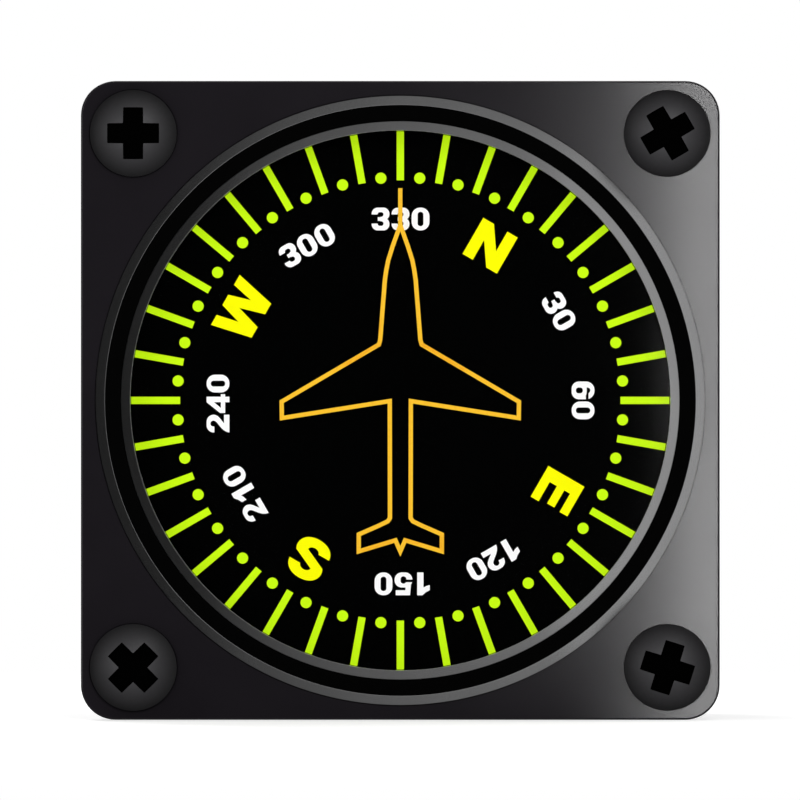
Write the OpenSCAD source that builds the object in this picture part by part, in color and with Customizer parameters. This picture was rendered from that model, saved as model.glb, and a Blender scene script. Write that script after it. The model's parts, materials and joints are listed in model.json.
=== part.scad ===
// Vertical card magnetic compass for an aircraft instrument panel.
// The dial looks along -Y, +X is to the right of the pilot and +Z is up.
// The origin is on the dial axis, in the plane where the flange meets the panel.
// A magnet turns in a damping cup about a vertical shaft. A pair of miter gears carries
// its heading to a card that turns behind a fixed airplane symbol.

/* [Flange] */
// Width of flange that shows beside the clamp ring at its narrowest
flange_rim = 1.885; // [1.3:0.005:8]
// Radius of the flange corners
flange_corner_r = 4.45; // [1.5:0.05:6]
// Thickness of the flange
flange_t = 4; // [3.7:0.1:6]
// Chamfer round the front of the flange
flange_edge = 0.5; // [0.1:0.05:1]
// Distance of each panel screw from the flange's sides
screw_inset = 6.775; // [6.2:0.025:7.5]

/* [Panel screws] */
// Radius of the screw shank
screw_r = 2.4; // [1.8:0.05:2.6]
// Length of shank that stands out behind the flange
screw_reach = 12; // [8:0.5:20]
// Radius of the domed head
screw_head_r = 5.6; // [4.5:0.1:6]
// Height of the domed head
screw_head_h = 2.2; // [1.8:0.1:3]
// Height of the head at its rim
screw_rim_h = 0.8; // [0.3:0.1:1.2]
// Span of the cross recess
recess_span = 6.69; // [4:0.05:7]
// Width of one arm of the cross recess
recess_arm = 2.56; // [1:0.02:2.8]
// Depth of the cross recess
recess_depth = 1.3; // [0.6:0.1:1.5]

/* [Clamp ring and glass] */
// Radius of the dial that shows inside the clamp ring
dial_r = 34.86; // [33:0.02:35.2]
// Width of the inner land of the clamp ring
inner_land_w = 1.23; // [0.8:0.01:1.8]
// Width of the dark groove between the lands
groove_w = 2.07; // [1.4:0.01:2.4]
// Width of the outer land of the clamp ring
outer_land_w = 1.23; // [0.8:0.01:1.8]
// Height of the clamp ring in front of the flange
ring_proud = 2.2; // [1.4:0.1:3]
// Depth of the groove in the clamp ring
groove_depth = 0.6; // [0.4:0.1:0.8]
// Thickness of the dark inlay in the groove
inlay_t = 0.5; // [0.2:0.1:0.8]
// Thickness of the front glass
glass_t = 1.8; // [1.2:0.1:2.2]
// Thickness of the seal in front of the glass
seal_t = 0.4; // [0.2:0.05:0.6]
// Thickness of the lip that the glass seats on
lip_t = 0.7; // [0.5:0.05:0.9]
// Width of the lip that the glass seats on
lip_w = 2.4; // [1.6:0.1:2.6]

/* [Airplane symbol] */
// Length of the airplane from nose to tail
plane_len = 42.3; // [30:0.1:44]
// Wing span of the airplane
plane_span = 30.72; // [24:0.1:34]
// Length of the index line in front of the nose
index_len = 4.75; // [3:0.05:6]
// Width of the drawn line
plane_line = 0.55; // [0.3:0.05:0.8]

/* [Compass card] */
// Thickness of the card
card_t = 0.6; // [0.4:0.1:1]
// Free space between the glass and the card
card_air = 2.1; // [1.5:0.1:3]
// Width of the ten degree bars
bar_w = 0.95; // [0.5:0.05:1.4]
// Length of the ten degree bars
bar_len = 6.34; // [3:0.02:6.8]
// Radius of the five degree dots
dot_r = 0.725; // [0.4:0.025:0.9]
// Distance of the five degree dots from the edge of the dial
dot_inset = 5.96; // [2:0.02:6.2]
// Height of a numeral
numeral_h = 2.95; // [2.2:0.05:3.2]
// Distance from one numeral to the next
numeral_step = 2.59; // [2.4:0.01:2.9]
// Height of a cardinal letter
letter_h = 5.4; // [4:0.1:5.6]
// Gap between the lettering and the bars
label_gap = 2.32; // [1.4:0.02:3.8]
// Thickness of the printed marks
mark_t = 0.08; // [0.05:0.01:0.12]

/* [Card drive] */
// Radius of the card shaft
card_shaft_r = 0.6; // [0.5:0.05:0.9]
// Radius of the hub that holds the card
card_hub_r = 4.5; // [3.5:0.1:6]
// Thickness of the hub that holds the card
card_hub_t = 2.2; // [1.5:0.1:3]
// Outer radius of the bearing sleeve
sleeve_r = 3; // [2.6:0.1:3.4]
// Number of teeth on each of the two card gears
card_gear_teeth = 24; // [20:4:32]
// Pitch radius of each of the two card gears
card_gear_pitch_r = 6; // [5.5:0.1:7]
// Face width of each of the two card gears, along its axis
card_gear_face = 2.2; // [1.2:0.1:2.6]

/* [Magnet and damping] */
// Radius of the magnet
magnet_r = 11; // [8:0.1:12]
// Thickness of the magnet
magnet_t = 8; // [4:0.1:9]
// Radius of the magnet shaft
rotor_shaft_r = 0.8; // [0.7:0.05:1]
// Free space between the magnet and the damping cup
cup_gap = 1.2; // [0.6:0.1:2]
// Wall of the damping cup
cup_wall = 2; // [1:0.1:2.4]
// Thickness of the damping cup's floor
cup_floor_t = 2; // [1.6:0.1:3]

/* [Movement frame] */
// Thickness of the movement plate
plate_t = 1.6; // [1.2:0.1:2.4]
// Width of the magnet yoke
yoke_w = 16; // [14:0.5:20]
// Thickness of the yoke's arms and web
yoke_t = 2.5; // [2:0.1:3]
// Height of the yoke's feet
yoke_foot_h = 6; // [5:0.1:7]
// Thickness of the yoke's feet
yoke_foot_t = 1.6; // [1.2:0.1:2.4]

/* [Case] */
// Wall of the spigot that carries the case tube
spigot_wall = 2.3; // [2:0.1:2.6]
// Wall of the case tube
case_wall = 1.5; // [1.2:0.1:1.8]
// Thickness of the rear cover
cover_t = 2.4; // [2:0.1:4]
// Thickness of the gasket under the rear cover
gasket_t = 0.6; // [0.3:0.1:1]
// Length of the screw bosses inside the tube
boss_len = 12; // [9:0.5:14]
// Radius of the screw bosses inside the tube
boss_r = 3; // [2.6:0.1:3.4]

/* [Compensator] */
// Sideways distance of each adjuster, as a share of the case's inner radius
adjuster_x_share = 0.33; // [0.31:0.01:0.36]
// Distance of both adjusters below the dial axis, as a share of the same radius
adjuster_drop_share = 0.42; // [0.32:0.01:0.44]
// Radius of an adjuster where it leaves the cover
adjuster_r = 1.5; // [1.2:0.05:1.8]
// Length of adjuster that stands out of its bush
adjuster_reach = 1.2; // [0.8:0.1:3]
// Radius of each trimming magnet
trim_magnet_r = 1.4; // [1:0.05:1.6]
// Length of each trimming magnet
trim_magnet_len = 10; // [8:0.1:11]
// Number of teeth on each trimmer gear
trim_gear_teeth = 16; // [12:4:20]
// Pitch radius of each trimmer gear
trim_gear_pitch_r = 3; // [2.8:0.05:3.4]
// Face width of each trimmer gear, along its axis
trim_gear_face = 1.2; // [0.8:0.1:1.3]
// Thickness of the compensator bracket
bracket_t = 1.4; // [1:0.1:2]
// Height of the compensator bracket
bracket_h = 10; // [8:0.1:10.4]

/* [Hidden] */
$fn = 96;
// Overrun of a cut past the face it starts from
cut = 0.5;
// Gap round a pressed or screwed joint
seat_gap = 0.02;
// Radial gap round a shaft in its bearing
run_gap = 0.04;
// Gap between a moving shoulder and what stops it
end_gap = 0.2;
// Radial gap round a screw in a clearance hole
hole_gap = 0.2;
// Radial gap of a ring or plate that drops into a round recess
drop_gap = 0.1;

// Flange, clamp ring and glass
// Height of the clamp ring at its rim, and how far each land stands over the dark band
ring_foot = 0.2;
land_lap = 0.1;
ring_drop = 0.05;
groove_in_r = dial_r + inner_land_w;
groove_out_r = groove_in_r + groove_w;
ring_r = groove_out_r + outer_land_w;
flange_w = 2 * (ring_r + flange_rim);
screw_spacing = flange_w - 2 * screw_inset;
card_lap = 0.24;
card_gap = 0.3;
card_r = dial_r + card_lap;
dot_ring_r = dial_r - dot_inset;
label_r = dial_r - bar_len - label_gap - letter_h / 2;
well_r = card_r + card_gap;
glass_r = well_r + lip_w;
pocket_r = glass_r + 2 * drop_gap;
glass_back_y = -lip_t;
glass_front_y = glass_back_y - glass_t;
seal_front_y = glass_front_y - seal_t;
symbol_t = 0.1;

// Depths behind the flange
card_front_y = glass_back_y + card_air;
card_back_y = card_front_y + card_t;
well_air = 1.2;
well_back_y = card_back_y + well_air;
spigot_base = 3.8;
plate_front_y = well_back_y + spigot_base;
plate_back_y = plate_front_y + plate_t;
foot_back_y = plate_back_y + yoke_foot_t;
cup_r = magnet_r + cup_gap + cup_wall;
cup_air = 1.6;
rotor_y = foot_back_y + cup_air + cup_r;
web_air = 1.8;
web_front_y = rotor_y + cup_r + web_air;
web_back_y = web_front_y + yoke_t;
bracket_air = 1.5;
bracket_front_y = web_back_y + bracket_air;
bracket_back_y = bracket_front_y + bracket_t;
trim_sweep_r = sqrt(pow(trim_magnet_len / 2, 2) + pow(trim_magnet_r, 2));
sweep_air = 0.7;
trim_y = bracket_back_y + sweep_air + trim_sweep_r;
tail_air = 2.2;
cover_front_y = trim_y + trim_sweep_r + tail_air;
case_len = cover_front_y - gasket_t;
cover_back_y = cover_front_y + cover_t;

// Case tube, bezel spigot and their fasteners
spigot_r = well_r + spigot_wall;
case_inner_r = spigot_r + drop_gap;
case_r = case_inner_r + case_wall;
// Depth of the flange's groove that seats the tube
tube_seat = 0.1;
seat_r = case_r + 2 * drop_gap;
spigot_step = 2;
spigot_step_r = well_r - spigot_step;
plate_gap = 0.5;
plate_r = spigot_r - plate_gap;
small_screw_r = 1;
small_head_r = 1.8;
small_head_h = 1.2;
slot_w = 0.5;
slot_depth = 0.5;
plate_screw_edge = 2.2;
plate_screw_pcr = spigot_r - plate_screw_edge;
plate_screw_len = 2.6;
plate_screw_angles = [30, 150, 270];
tube_screw_angles = [90, 210, 330];
tube_screw_y = well_back_y + spigot_base / 2;
tube_screw_head_r = 1.9;
tube_screw_flush = 0.1;
tube_screw_reach = 2.4;
ring_groove_front = 0.8;
ring_groove_w = 1.4;
ring_groove_depth = 1;
ring_cord_gap = 0.05;

// Rear cover
boss_sink = 0.2;
boss_pcr = case_inner_r - boss_r + boss_sink;
boss_angles = [45, 135, 225, 315];
back_screw_r = 1.25;
back_head_r = 2.4;
back_head_h = 1.5;
back_screw_len = 7;
back_slot_w = 0.7;
back_slot_depth = 0.8;
cover_edge = 0.6;
tap_spare = 0.8;

// Panel screws
panel_hole_r = screw_r + hole_gap;
screw_tip = 0.6;
// The shank is thinner than its thread inside the flange by this much
neck_step = 0.4;
screw_neck_r = screw_r - neck_step;
dome_rise = screw_head_h - screw_rim_h;
dome_r = (pow(screw_head_r, 2) + pow(dome_rise, 2)) / (2 * dome_rise);
// Turn of each cross recess, from the top left, clockwise
screw_angles = [0, 30, -17.5, 45];
screw_sides = [[-1, 1], [1, 1], [1, -1], [-1, -1]];

// Card shaft and its bearings
hub_air = 0.5;
hub_back_y = card_back_y + card_hub_t;
sleeve_front_y = hub_back_y + hub_air;
gear_hub_len = 3;
gear_hub_r = 2.4;
card_gear_y = rotor_y - card_gear_pitch_r;
card_gear_hub_y = card_gear_y - gear_hub_len;
thrust_gap = 0.4;
sleeve_back_y = card_gear_hub_y - thrust_gap;
sleeve_flange_r = 5.5;
sleeve_flange_t = 1.4;
sleeve_bore_gap = 0.4;
jewel_wall = 1;
jewel_t = 1.2;
card_jewel_r = card_shaft_r + jewel_wall;
shaft_tail = 0.3;
card_shaft_end_y = card_gear_y + card_gear_face + shaft_tail;

// Magnet shaft, from the lower arm upwards
// The lower arm lies at this share of the case's inner radius
arm_drop_share = 5 / 6;
lower_arm_z = -arm_drop_share * case_inner_r;
floor_base_z = lower_arm_z + yoke_t;
floor_top_z = floor_base_z + cup_floor_t;
floor_air = 1.4;
nut_base_z = floor_top_z + floor_air;
nut_t = 1.6;
nut_r = 3;
magnet_base_z = nut_base_z + nut_t;
magnet_top_z = magnet_base_z + magnet_t;
magnet_sink = 4;
cup_top_z = magnet_top_z + magnet_sink;
magnet_hub_wall = 1;
magnet_hub_r = rotor_shaft_r + magnet_hub_wall;
magnet_flange_r = 4;
magnet_flange_t = 1.4;
pivot_r = 0.25;
pivot_gap = 0.05;
pivot_len = 0.8;
pivot_end = 0.1;
pivot_drop = 2;
lower_shoulder_z = nut_base_z - pivot_drop;
jewel_r = 1;
cup_jewel_t = 1;
arm_lift = 5;
upper_arm_z = card_gear_pitch_r + arm_lift;
jewel_screw_reach = 1.4;
upper_shoulder_z = upper_arm_z - jewel_screw_reach - end_gap;
jewel_screw_r = 1.5;
locknut_t = 1.2;
locknut_r = 2.9;
jewel_screw_tail = 1.3;
lower_tip_z = lower_shoulder_z - end_gap;
upper_tip_z = upper_shoulder_z + end_gap;
lower_screw_len = lower_tip_z - lower_arm_z + locknut_t + jewel_screw_tail;
upper_screw_len = upper_arm_z + yoke_t - upper_tip_z + locknut_t + jewel_screw_tail;
floor_hole_gap = 1.1;
cup_screw_x = 5.5;
cup_screw_grip = 1.2;
foot_screw_x = 5;
foot_screw_head_r = 1.9;

// Compensator
adjuster_x = adjuster_x_share * case_inner_r;
adjuster_z = -adjuster_drop_share * case_inner_r;
bush_wall = 1.1;
bush_r = adjuster_r + bush_wall;
bush_inner_len = 2;
bush_flange_r = 4;
bush_flange_t = 1.2;
bush_front_y = cover_front_y - bush_inner_len;
bush_back_y = cover_back_y + bush_flange_t;
adjuster_seal_wall = 0.55;
adjuster_seal_t = 1.2;
seal_inset = 0.2;
adjuster_end_y = bush_back_y + adjuster_reach;
journal_r = 0.9;
journal_lead = 0.3;
clip_wall = 0.9;
clip_t = 0.5;
clip_gap = 0.1;
carrier_r = 2.6;
carrier_len = 4.6;
trim_hub_r = 1.6;
trim_hub_len = 1.2;
drive_gear_y = trim_y + trim_gear_pitch_r;
drive_hub_y = drive_gear_y + trim_hub_len;
cross_gear_x = adjuster_x - trim_gear_pitch_r;
cross_hub_x = cross_gear_x - trim_hub_len;
cross_r = 1;
ear_t = 1.4;
ear_gap = 0.4;
ear_w = 5;
ear_lap = 2.2;
right_ear_x = cross_hub_x - ear_gap - ear_t;
left_ear_x = -4.4;
carrier_x0 = left_ear_x + ear_t + end_gap;
carrier_x1 = right_ear_x - end_gap;
trim_cross_x = (carrier_x0 + carrier_x1) / 2;
cross_end_x0 = left_ear_x - journal_lead;
bracket_side_air = 2.6;
bracket_leg_x = adjuster_x + trim_sweep_r + bracket_side_air;
bracket_foot_w = 4.6;
bracket_screw_z = 2.5;
bracket_screw_grip = 1.6;
bracket_head_r = 1.6;
bracket_head_h = 0.9;
bracket_screw_r = 0.8;

// Angle of the teeth's flanks, and the play at the pitch line
flank_angle = 20;
tooth_play_angle = 0.6;
// Share of the tooth height above and below the pitch line, in units of the module
above_share = 1;
below_share = 1.25;

// Half outline of the airplane, from nose to tail, as shares of half its span and of its length
plane_shares = [
    [0, 0.537], [0.065, 0.471], [0.102, 0.428], [0.118, 0.398], [0.13, 0.368],
    [0.139, 0.325], [0.15, 0.275], [0.169, 0.186], [0.18, 0.171], [1, -0.004],
    [0.998, -0.054], [0.089, -0.002], [0.087, -0.36], [0.106, -0.37], [0.18, -0.383],
    [0.35, -0.41], [0.35, -0.462], [0.041, -0.428], [0, -0.462]
];
nose_share = plane_shares[0][1];

// Numerals as shares of their height
one_shares = [
    [0, 0], [0.275, 0], [0.275, 1], [0.048, 1], [-0.098, 0.872],
    [-0.275, 0.776], [-0.275, 0.549], [-0.105, 0.603], [0, 0.661]
];
two_shares = [
    [-0.39, 0], [0.39, 0], [0.39, 0.236], [0.01, 0.236], [0.235, 0.415], [0.33, 0.51],
    [0.378, 0.61], [0.39, 0.72], [0.13, 0.68], [0.11, 0.62], [0.05, 0.55],
    [-0.156, 0.385], [-0.278, 0.265], [-0.356, 0.136]
];
four_shares = [
    [0.06, 0], [0.302, 0], [0.302, 0.185], [0.412, 0.185], [0.412, 0.376], [0.302, 0.376],
    [0.302, 1], [0.06, 1], [-0.412, 0.41], [-0.412, 0.185], [0.06, 0.185]
];
four_hole_shares = [[0.06, 0.67], [0.06, 0.376], [-0.192, 0.376]];
five_shares = [
    [-0.33, 0.5], [-0.1, 0.5], [-0.081, 0.783], [0.34, 0.783], [0.34, 1], [-0.288, 1]
];
digit_w_share = 0.78;
middle_share = 0.5;
bowl_share = 0.66;
corner_share = 0.37;
counter_w_share = 0.255;
counter_h_share = 0.63;
eye_h_share = 0.32;
gap_h_share = 0.12;
two_hook_share = 0.66;
three_bowl_share = 0.56;
three_eye_share = 0.3;
three_eye_h_share = 0.2;
three_gap_share = 0.36;
three_notch_share = 0.12;
five_gap_share = 0.37;
six_gap_share = 0.62;
// Largest corner radius, as a share of the narrower side
round_share = 0.48;

// Cardinal letters as shares of their height, from their left edge
n_shares = [
    [0, 0], [0, 1], [0.296, 1], [0.668, 0.456], [0.668, 1], [0.954, 1],
    [0.954, 0], [0.658, 0], [0.286, 0.541], [0.286, 0]
];
n_w_share = 0.954;
e_shares = [
    [0, 0], [0.85, 0], [0.85, 0.222], [0.318, 0.222], [0.318, 0.422], [0.794, 0.422],
    [0.794, 0.624], [0.318, 0.624], [0.318, 0.785], [0.822, 0.785], [0.822, 1], [0, 1]
];
e_w_share = 0.85;
w_half_shares = [
    [0, 0.611], [0.178, 0], [0.472, 0], [0.692, 1], [0.415, 1], [0.3, 0.468], [0.142, 1]
];
s_bowl_shares = [0.284, 0.207];
s_rise_share = 0.193;
s_side_share = 0.296;
s_top_share = 0.226;
s_sweep_angle = 200;
s_step_count = 20;

// Angle of each label, clockwise from the top of the card, what it says, and how far it is
// printed to the right and outwards of its place, as shares of its height
numeral_angles = [
    [0, "330", 0.01, 0], [60, "30", 0.1, 0.03], [90, "60", 0, 0.06], [150, "120", -0.09, 0.12],
    [180, "150", -0.14, 0.09], [240, "210", -0.12, 0.01], [270, "240", -0.14, 0.04],
    [330, "300", -0.13, -0.02]
];
letter_angles = [
    [30, "N", 0.01, -0.06], [120, "E", 0.01, 0.01], [210, "S", -0.01, 0.03], [300, "W", -0.01, -0.01]
];
bar_angle = 10;

// Round stock along each axis, from one place to another

module rod_x(r, x0, x1) {
    translate([x0, 0, 0])
        rotate([0, 90, 0])
            cylinder(r = r, h = x1 - x0);
}

module rod_y(r, y0, y1) {
    translate([0, y0, 0])
        rotate([-90, 0, 0])
            cylinder(r = r, h = y1 - y0);
}

module rod_z(r, z0, z1) {
    translate([0, 0, z0])
        cylinder(r = r, h = z1 - z0);
}

module ring_y(r_out, r_in, y0, y1) {
    difference() {
        rod_y(r_out, y0, y1);
        rod_y(r_in, y0 - cut, y1 + cut);
    }
}

// A box from its lowest corner to its highest
module block(low, high) {
    translate(low)
        cube(high - low);
}

// A flat outline in the plane of the dial, from depth y towards the pilot
module face_out(y, t) {
    translate([0, y, 0])
        rotate([90, 0, 0])
            linear_extrude(t)
                children();
}

module turned_front() {
    rotate([90, 0, 0])
        rotate_extrude()
            children();
}

// Places on a circle about the dial axis
module around_dial(angles, r) {
    for (a = angles)
        rotate([0, a, 0])
            translate([r, 0, 0])
                children();
}

module rounded_rect(w, h, r) {
    square([w - 2 * r, h], center = true);
    square([w, h - 2 * r], center = true);
    for (x = [-1, 1], y = [-1, 1])
        translate([x * (w / 2 - r), y * (h / 2 - r)])
            circle(r);
}

// Miter gear with its large end in the plane z = 0, narrowing towards +Z
module miter_gear(teeth, pitch_r, face, turn) {
    module_angle = 360 / teeth * sin(45) / PI;
    tip_r = pitch_r * tan(45 + above_share * module_angle);
    root_r = pitch_r * tan(45 - below_share * module_angle);
    pitch_half = 90 / teeth - tooth_play_angle;
    flank = module_angle * tan(flank_angle) / sin(45);
    tip_half = pitch_half - above_share * flank;
    root_half = pitch_half + below_share * flank;
    linear_extrude(face, scale = (pitch_r - face) / pitch_r)
        polygon([
            for (i = [0 : teeth - 1])
                let (a = turn + i * 360 / teeth)
                    for (p = [
                        [root_r, -root_half], [pitch_r, -pitch_half], [tip_r, -tip_half],
                        [tip_r, tip_half], [pitch_r, pitch_half], [root_r, root_half]
                    ])
                        p[0] * [cos(a + p[1]), sin(a + p[1])]
        ]);
}

// Front of the instrument

module at_panel_screws() {
    for (s = screw_sides)
        translate([s[0] * screw_spacing / 2, 0, s[1] * screw_spacing / 2])
            children();
}

module flange_slab() {
    hull() {
        face_out(0, flange_t - flange_edge)
            rounded_rect(flange_w, flange_w, flange_corner_r, $fn = 32);
        face_out(0, flange_t)
            rounded_rect(
                flange_w - 2 * flange_edge, flange_w - 2 * flange_edge,
                flange_corner_r - flange_edge, $fn = 32
            );
    }
}

module bezel_plate() {
    color("#1d1b1e")
        difference() {
            union() {
                difference() {
                    flange_slab();
                    rod_y(seat_r, -tube_seat, cut);
                }
                rod_y(spigot_r, -lip_t, plate_front_y);
            }
            rod_y(pocket_r, -flange_t - cut, glass_back_y);
            rod_y(well_r, glass_back_y - cut, well_back_y);
            rod_y(spigot_step_r, well_back_y - cut, plate_front_y + cut);
            ring_y(
                spigot_r + cut, spigot_r - ring_groove_depth,
                ring_groove_front, ring_groove_front + ring_groove_w
            );
            at_panel_screws()
                rod_y(panel_hole_r, -flange_t - cut, cut);
            around_dial(plate_screw_angles, plate_screw_pcr)
                rod_y(
                    small_screw_r + seat_gap,
                    plate_front_y - plate_screw_len - end_gap, plate_front_y + cut
                );
            around_dial(tube_screw_angles, spigot_r)
                translate([0, tube_screw_y, 0])
                    rod_x(small_screw_r + seat_gap, -tube_screw_reach - end_gap, cut);
        }
}

// Height of the clamp ring where the dark band lies between its two sloping lands
function land_step() = flange_t + ring_proud / 2 + land_lap;

module clamp_ring() {
    spigot_top = -seal_front_y;
    floor_h = land_step() - groove_depth;
    color("#8b8b8e")
        turned_front()
            polygon([
                [dial_r, spigot_top], [pocket_r - ring_drop, spigot_top],
                [pocket_r - ring_drop, flange_t], [ring_r, flange_t],
                [ring_r, flange_t + ring_foot], [groove_out_r, land_step()],
                [groove_out_r, floor_h], [groove_in_r, floor_h],
                [groove_in_r, land_step()], [dial_r, flange_t + ring_proud]
            ]);
}

module ring_inlay() {
    floor_y = groove_depth - land_step();
    color("#050505")
        ring_y(groove_out_r - seat_gap, groove_in_r + seat_gap, floor_y - inlay_t, floor_y);
}

module glass_seal() {
    color("#151515")
        ring_y(glass_r, well_r, seal_front_y, glass_front_y);
}

module front_glass() {
    color("#dfe8ea", 0.25)
        rod_y(glass_r, glass_front_y, glass_back_y);
}

module plane_outline() {
    polygon(concat(
        [for (p = plane_shares) [p[0] * plane_span / 2, p[1] * plane_len]],
        [for (i = [len(plane_shares) - 2 : -1 : 1])
            [-plane_shares[i][0] * plane_span / 2, plane_shares[i][1] * plane_len]]
    ));
}

module airplane_symbol() {
    color("#f2b823")
        face_out(glass_back_y + symbol_t, symbol_t) {
            difference() {
                offset(delta = plane_line / 2)
                    plane_outline();
                offset(delta = -plane_line / 2)
                    plane_outline();
            }
            translate([-plane_line / 2, nose_share * plane_len])
                square([plane_line, index_len]);
        }
}

module panel_screws() {
    color("#2b2b2d")
        for (i = [0 : 3])
            translate([
                screw_sides[i][0] * screw_spacing / 2, -flange_t,
                screw_sides[i][1] * screw_spacing / 2
            ])
                rotate([90, 0, 0])
                    panel_screw(screw_angles[i]);
}

// Panel screw with its head above z = 0 and its shank below
module panel_screw(turn) {
    difference() {
        intersection() {
            rod_z(screw_head_r, 0, screw_head_h + cut);
            translate([0, 0, screw_head_h - dome_r])
                sphere(dome_r);
        }
        translate([0, 0, screw_head_h - recess_depth])
            rotate([0, 0, turn])
                linear_extrude(recess_depth + cut) {
                    square([recess_span, recess_arm], center = true);
                    square([recess_arm, recess_span], center = true);
                }
    }
    translate([0, 0, -flange_t - screw_reach])
        rotate_extrude()
            polygon([
                [0, 0], [screw_r - screw_tip, 0], [screw_r, screw_tip],
                [screw_r, screw_reach], [screw_neck_r, screw_reach],
                [screw_neck_r, flange_t + screw_reach], [0, flange_t + screw_reach]
            ]);
}

// Compass card

// Glyphs stand on y = 0 with their middle on x = 0

module shape(shares, size) {
    polygon([for (p = shares) p * size]);
}

// Rounded bowl of a numeral, of the given height, standing at the given level
module bowl(size, level, height) {
    translate([0, (level + height / 2) * size])
        rounded_rect(
            digit_w_share * size, height * size, min(corner_share, height * round_share) * size
        );
}

// Hole in a bowl, of the given height about the given middle
module counter(size, middle, height) {
    translate([0, middle * size])
        rounded_rect(
            counter_w_share * size, height * size,
            min(counter_w_share, height) * round_share * size
        );
}

// Gap cut in from the left, about the given middle
module left_gap(size, middle) {
    translate([-size, (middle - gap_h_share / 2) * size])
        square([size, gap_h_share * size]);
}

module digit_0(size) {
    difference() {
        bowl(size, 0, 1);
        counter(size, middle_share, counter_h_share);
    }
}

module digit_1(size) {
    shape(one_shares, size);
}

module digit_2(size) {
    shape(two_shares, size);
    intersection() {
        difference() {
            bowl(size, 1 - bowl_share, bowl_share);
            counter(size, 1 - bowl_share / 2, eye_h_share);
        }
        translate([-size, two_hook_share * size])
            square([2 * size, size]);
    }
}

module digit_3(size) {
    difference() {
        union() {
            bowl(size, 0, three_bowl_share);
            bowl(size, 1 - three_bowl_share, three_bowl_share);
        }
        for (eye = [three_eye_share, 1 - three_eye_share])
            counter(size, eye, three_eye_h_share);
        for (gap = [three_gap_share, 1 - three_gap_share])
            left_gap(size, gap);
        translate([-size, three_eye_share * size])
            square([(1 - three_notch_share) * size, (1 - 2 * three_eye_share) * size]);
    }
}

module digit_4(size) {
    difference() {
        shape(four_shares, size);
        shape(four_hole_shares, size);
    }
}

module digit_5(size) {
    shape(five_shares, size);
    difference() {
        bowl(size, 0, bowl_share);
        counter(size, bowl_share / 2, eye_h_share);
        left_gap(size, five_gap_share);
    }
}

module digit_6(size) {
    difference() {
        bowl(size, 0, 1);
        counter(size, middle_share, counter_h_share);
        translate([0, six_gap_share * size])
            square([size, gap_h_share * size]);
    }
    difference() {
        bowl(size, 0, bowl_share);
        counter(size, bowl_share / 2, eye_h_share);
    }
}

module digit(mark, size) {
    if (mark == "0") digit_0(size);
    if (mark == "1") digit_1(size);
    if (mark == "2") digit_2(size);
    if (mark == "3") digit_3(size);
    if (mark == "4") digit_4(size);
    if (mark == "5") digit_5(size);
    if (mark == "6") digit_6(size);
}

module letter_n(size) {
    translate([-n_w_share * size / 2, 0])
        shape(n_shares, size);
}

module letter_e(size) {
    translate([-e_w_share * size / 2, 0])
        shape(e_shares, size);
}

module letter_w(size) {
    polygon([
        for (p = w_half_shares) p * size,
        for (i = [len(w_half_shares) - 1 : -1 : 1])
            [-w_half_shares[i][0], w_half_shares[i][1]] * size
    ]);
}

// The S is one broad stroke along two bowls and a sloping middle
function s_middle(a) = [s_bowl_shares[0] * cos(a), s_rise_share + s_bowl_shares[1] * sin(a)];
function s_normal(a) =
    let (n = [cos(a) / s_bowl_shares[0], sin(a) / s_bowl_shares[1]])
        n / norm(n);
function s_width(a) = s_top_share + (s_side_share - s_top_share) * pow(cos(a), 2);
function s_edge(side) = [
    for (i = [0 : s_step_count])
        let (a = i * s_sweep_angle / s_step_count)
            s_middle(a) + side * s_normal(a) * s_width(a) / 2
];
function turned_back_to_front(points) = [
    for (i = [len(points) - 1 : -1 : 0]) -points[i]
];

module letter_s(size) {
    one_side = concat(s_edge(1), turned_back_to_front(s_edge(-1)));
    translate([0, size / 2])
        polygon([for (p = concat(one_side, [for (q = one_side) -q])) p * size]);
}

module letter(mark, size) {
    if (mark == "N") letter_n(size);
    if (mark == "E") letter_e(size);
    if (mark == "S") letter_s(size);
    if (mark == "W") letter_w(size);
}

module on_card() {
    face_out(card_front_y, mark_t)
        children();
}

module compass_card() {
    color("#070707")
        rod_y(card_r, card_front_y, card_back_y);
}

module degree_bars() {
    color("#cdff00")
        on_card()
            for (a = [0 : bar_angle : 360 - bar_angle])
                rotate(a)
                    translate([-bar_w / 2, dial_r - bar_len])
                        square([bar_w, bar_len]);
}

module degree_dots() {
    color("#cdff00")
        on_card()
            for (a = [0 : bar_angle : 360 - bar_angle])
                rotate(a + bar_angle / 2)
                    translate([0, dot_ring_r])
                        circle(dot_r);
}

module card_numerals() {
    color("#ffffff")
        on_card()
            for (label = numeral_angles)
                rotate(-label[0])
                    for (i = [0 : len(label[1]) - 1])
                        translate([
                            (i - (len(label[1]) - 1) / 2) * numeral_step + label[2] * numeral_h,
                            label_r - (1 / 2 - label[3]) * numeral_h
                        ])
                            digit(label[1][i], numeral_h);
}

module cardinal_letters() {
    color("#ffff00")
        on_card()
            for (label = letter_angles)
                rotate(-label[0])
                    translate([label[2] * letter_h, label_r - (1 / 2 - label[3]) * letter_h])
                        letter(label[1], letter_h);
}

module card_hub() {
    color("#c9a85a")
        ring_y(card_hub_r, card_shaft_r + seat_gap, card_back_y, hub_back_y);
}

module card_shaft() {
    color("#c4c7cb")
        rod_y(card_shaft_r, card_back_y, card_shaft_end_y);
}

module card_gear() {
    color("#c9a85a")
        translate([0, card_gear_y, 0])
            rotate([-90, 0, 0])
                difference() {
                    union() {
                        miter_gear(card_gear_teeth, card_gear_pitch_r, card_gear_face, 90);
                        rod_z(gear_hub_r, -gear_hub_len, 0);
                    }
                    rod_z(card_shaft_r + seat_gap, -gear_hub_len - cut, card_gear_face + cut);
                }
}

// Card bearing and movement plate

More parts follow.
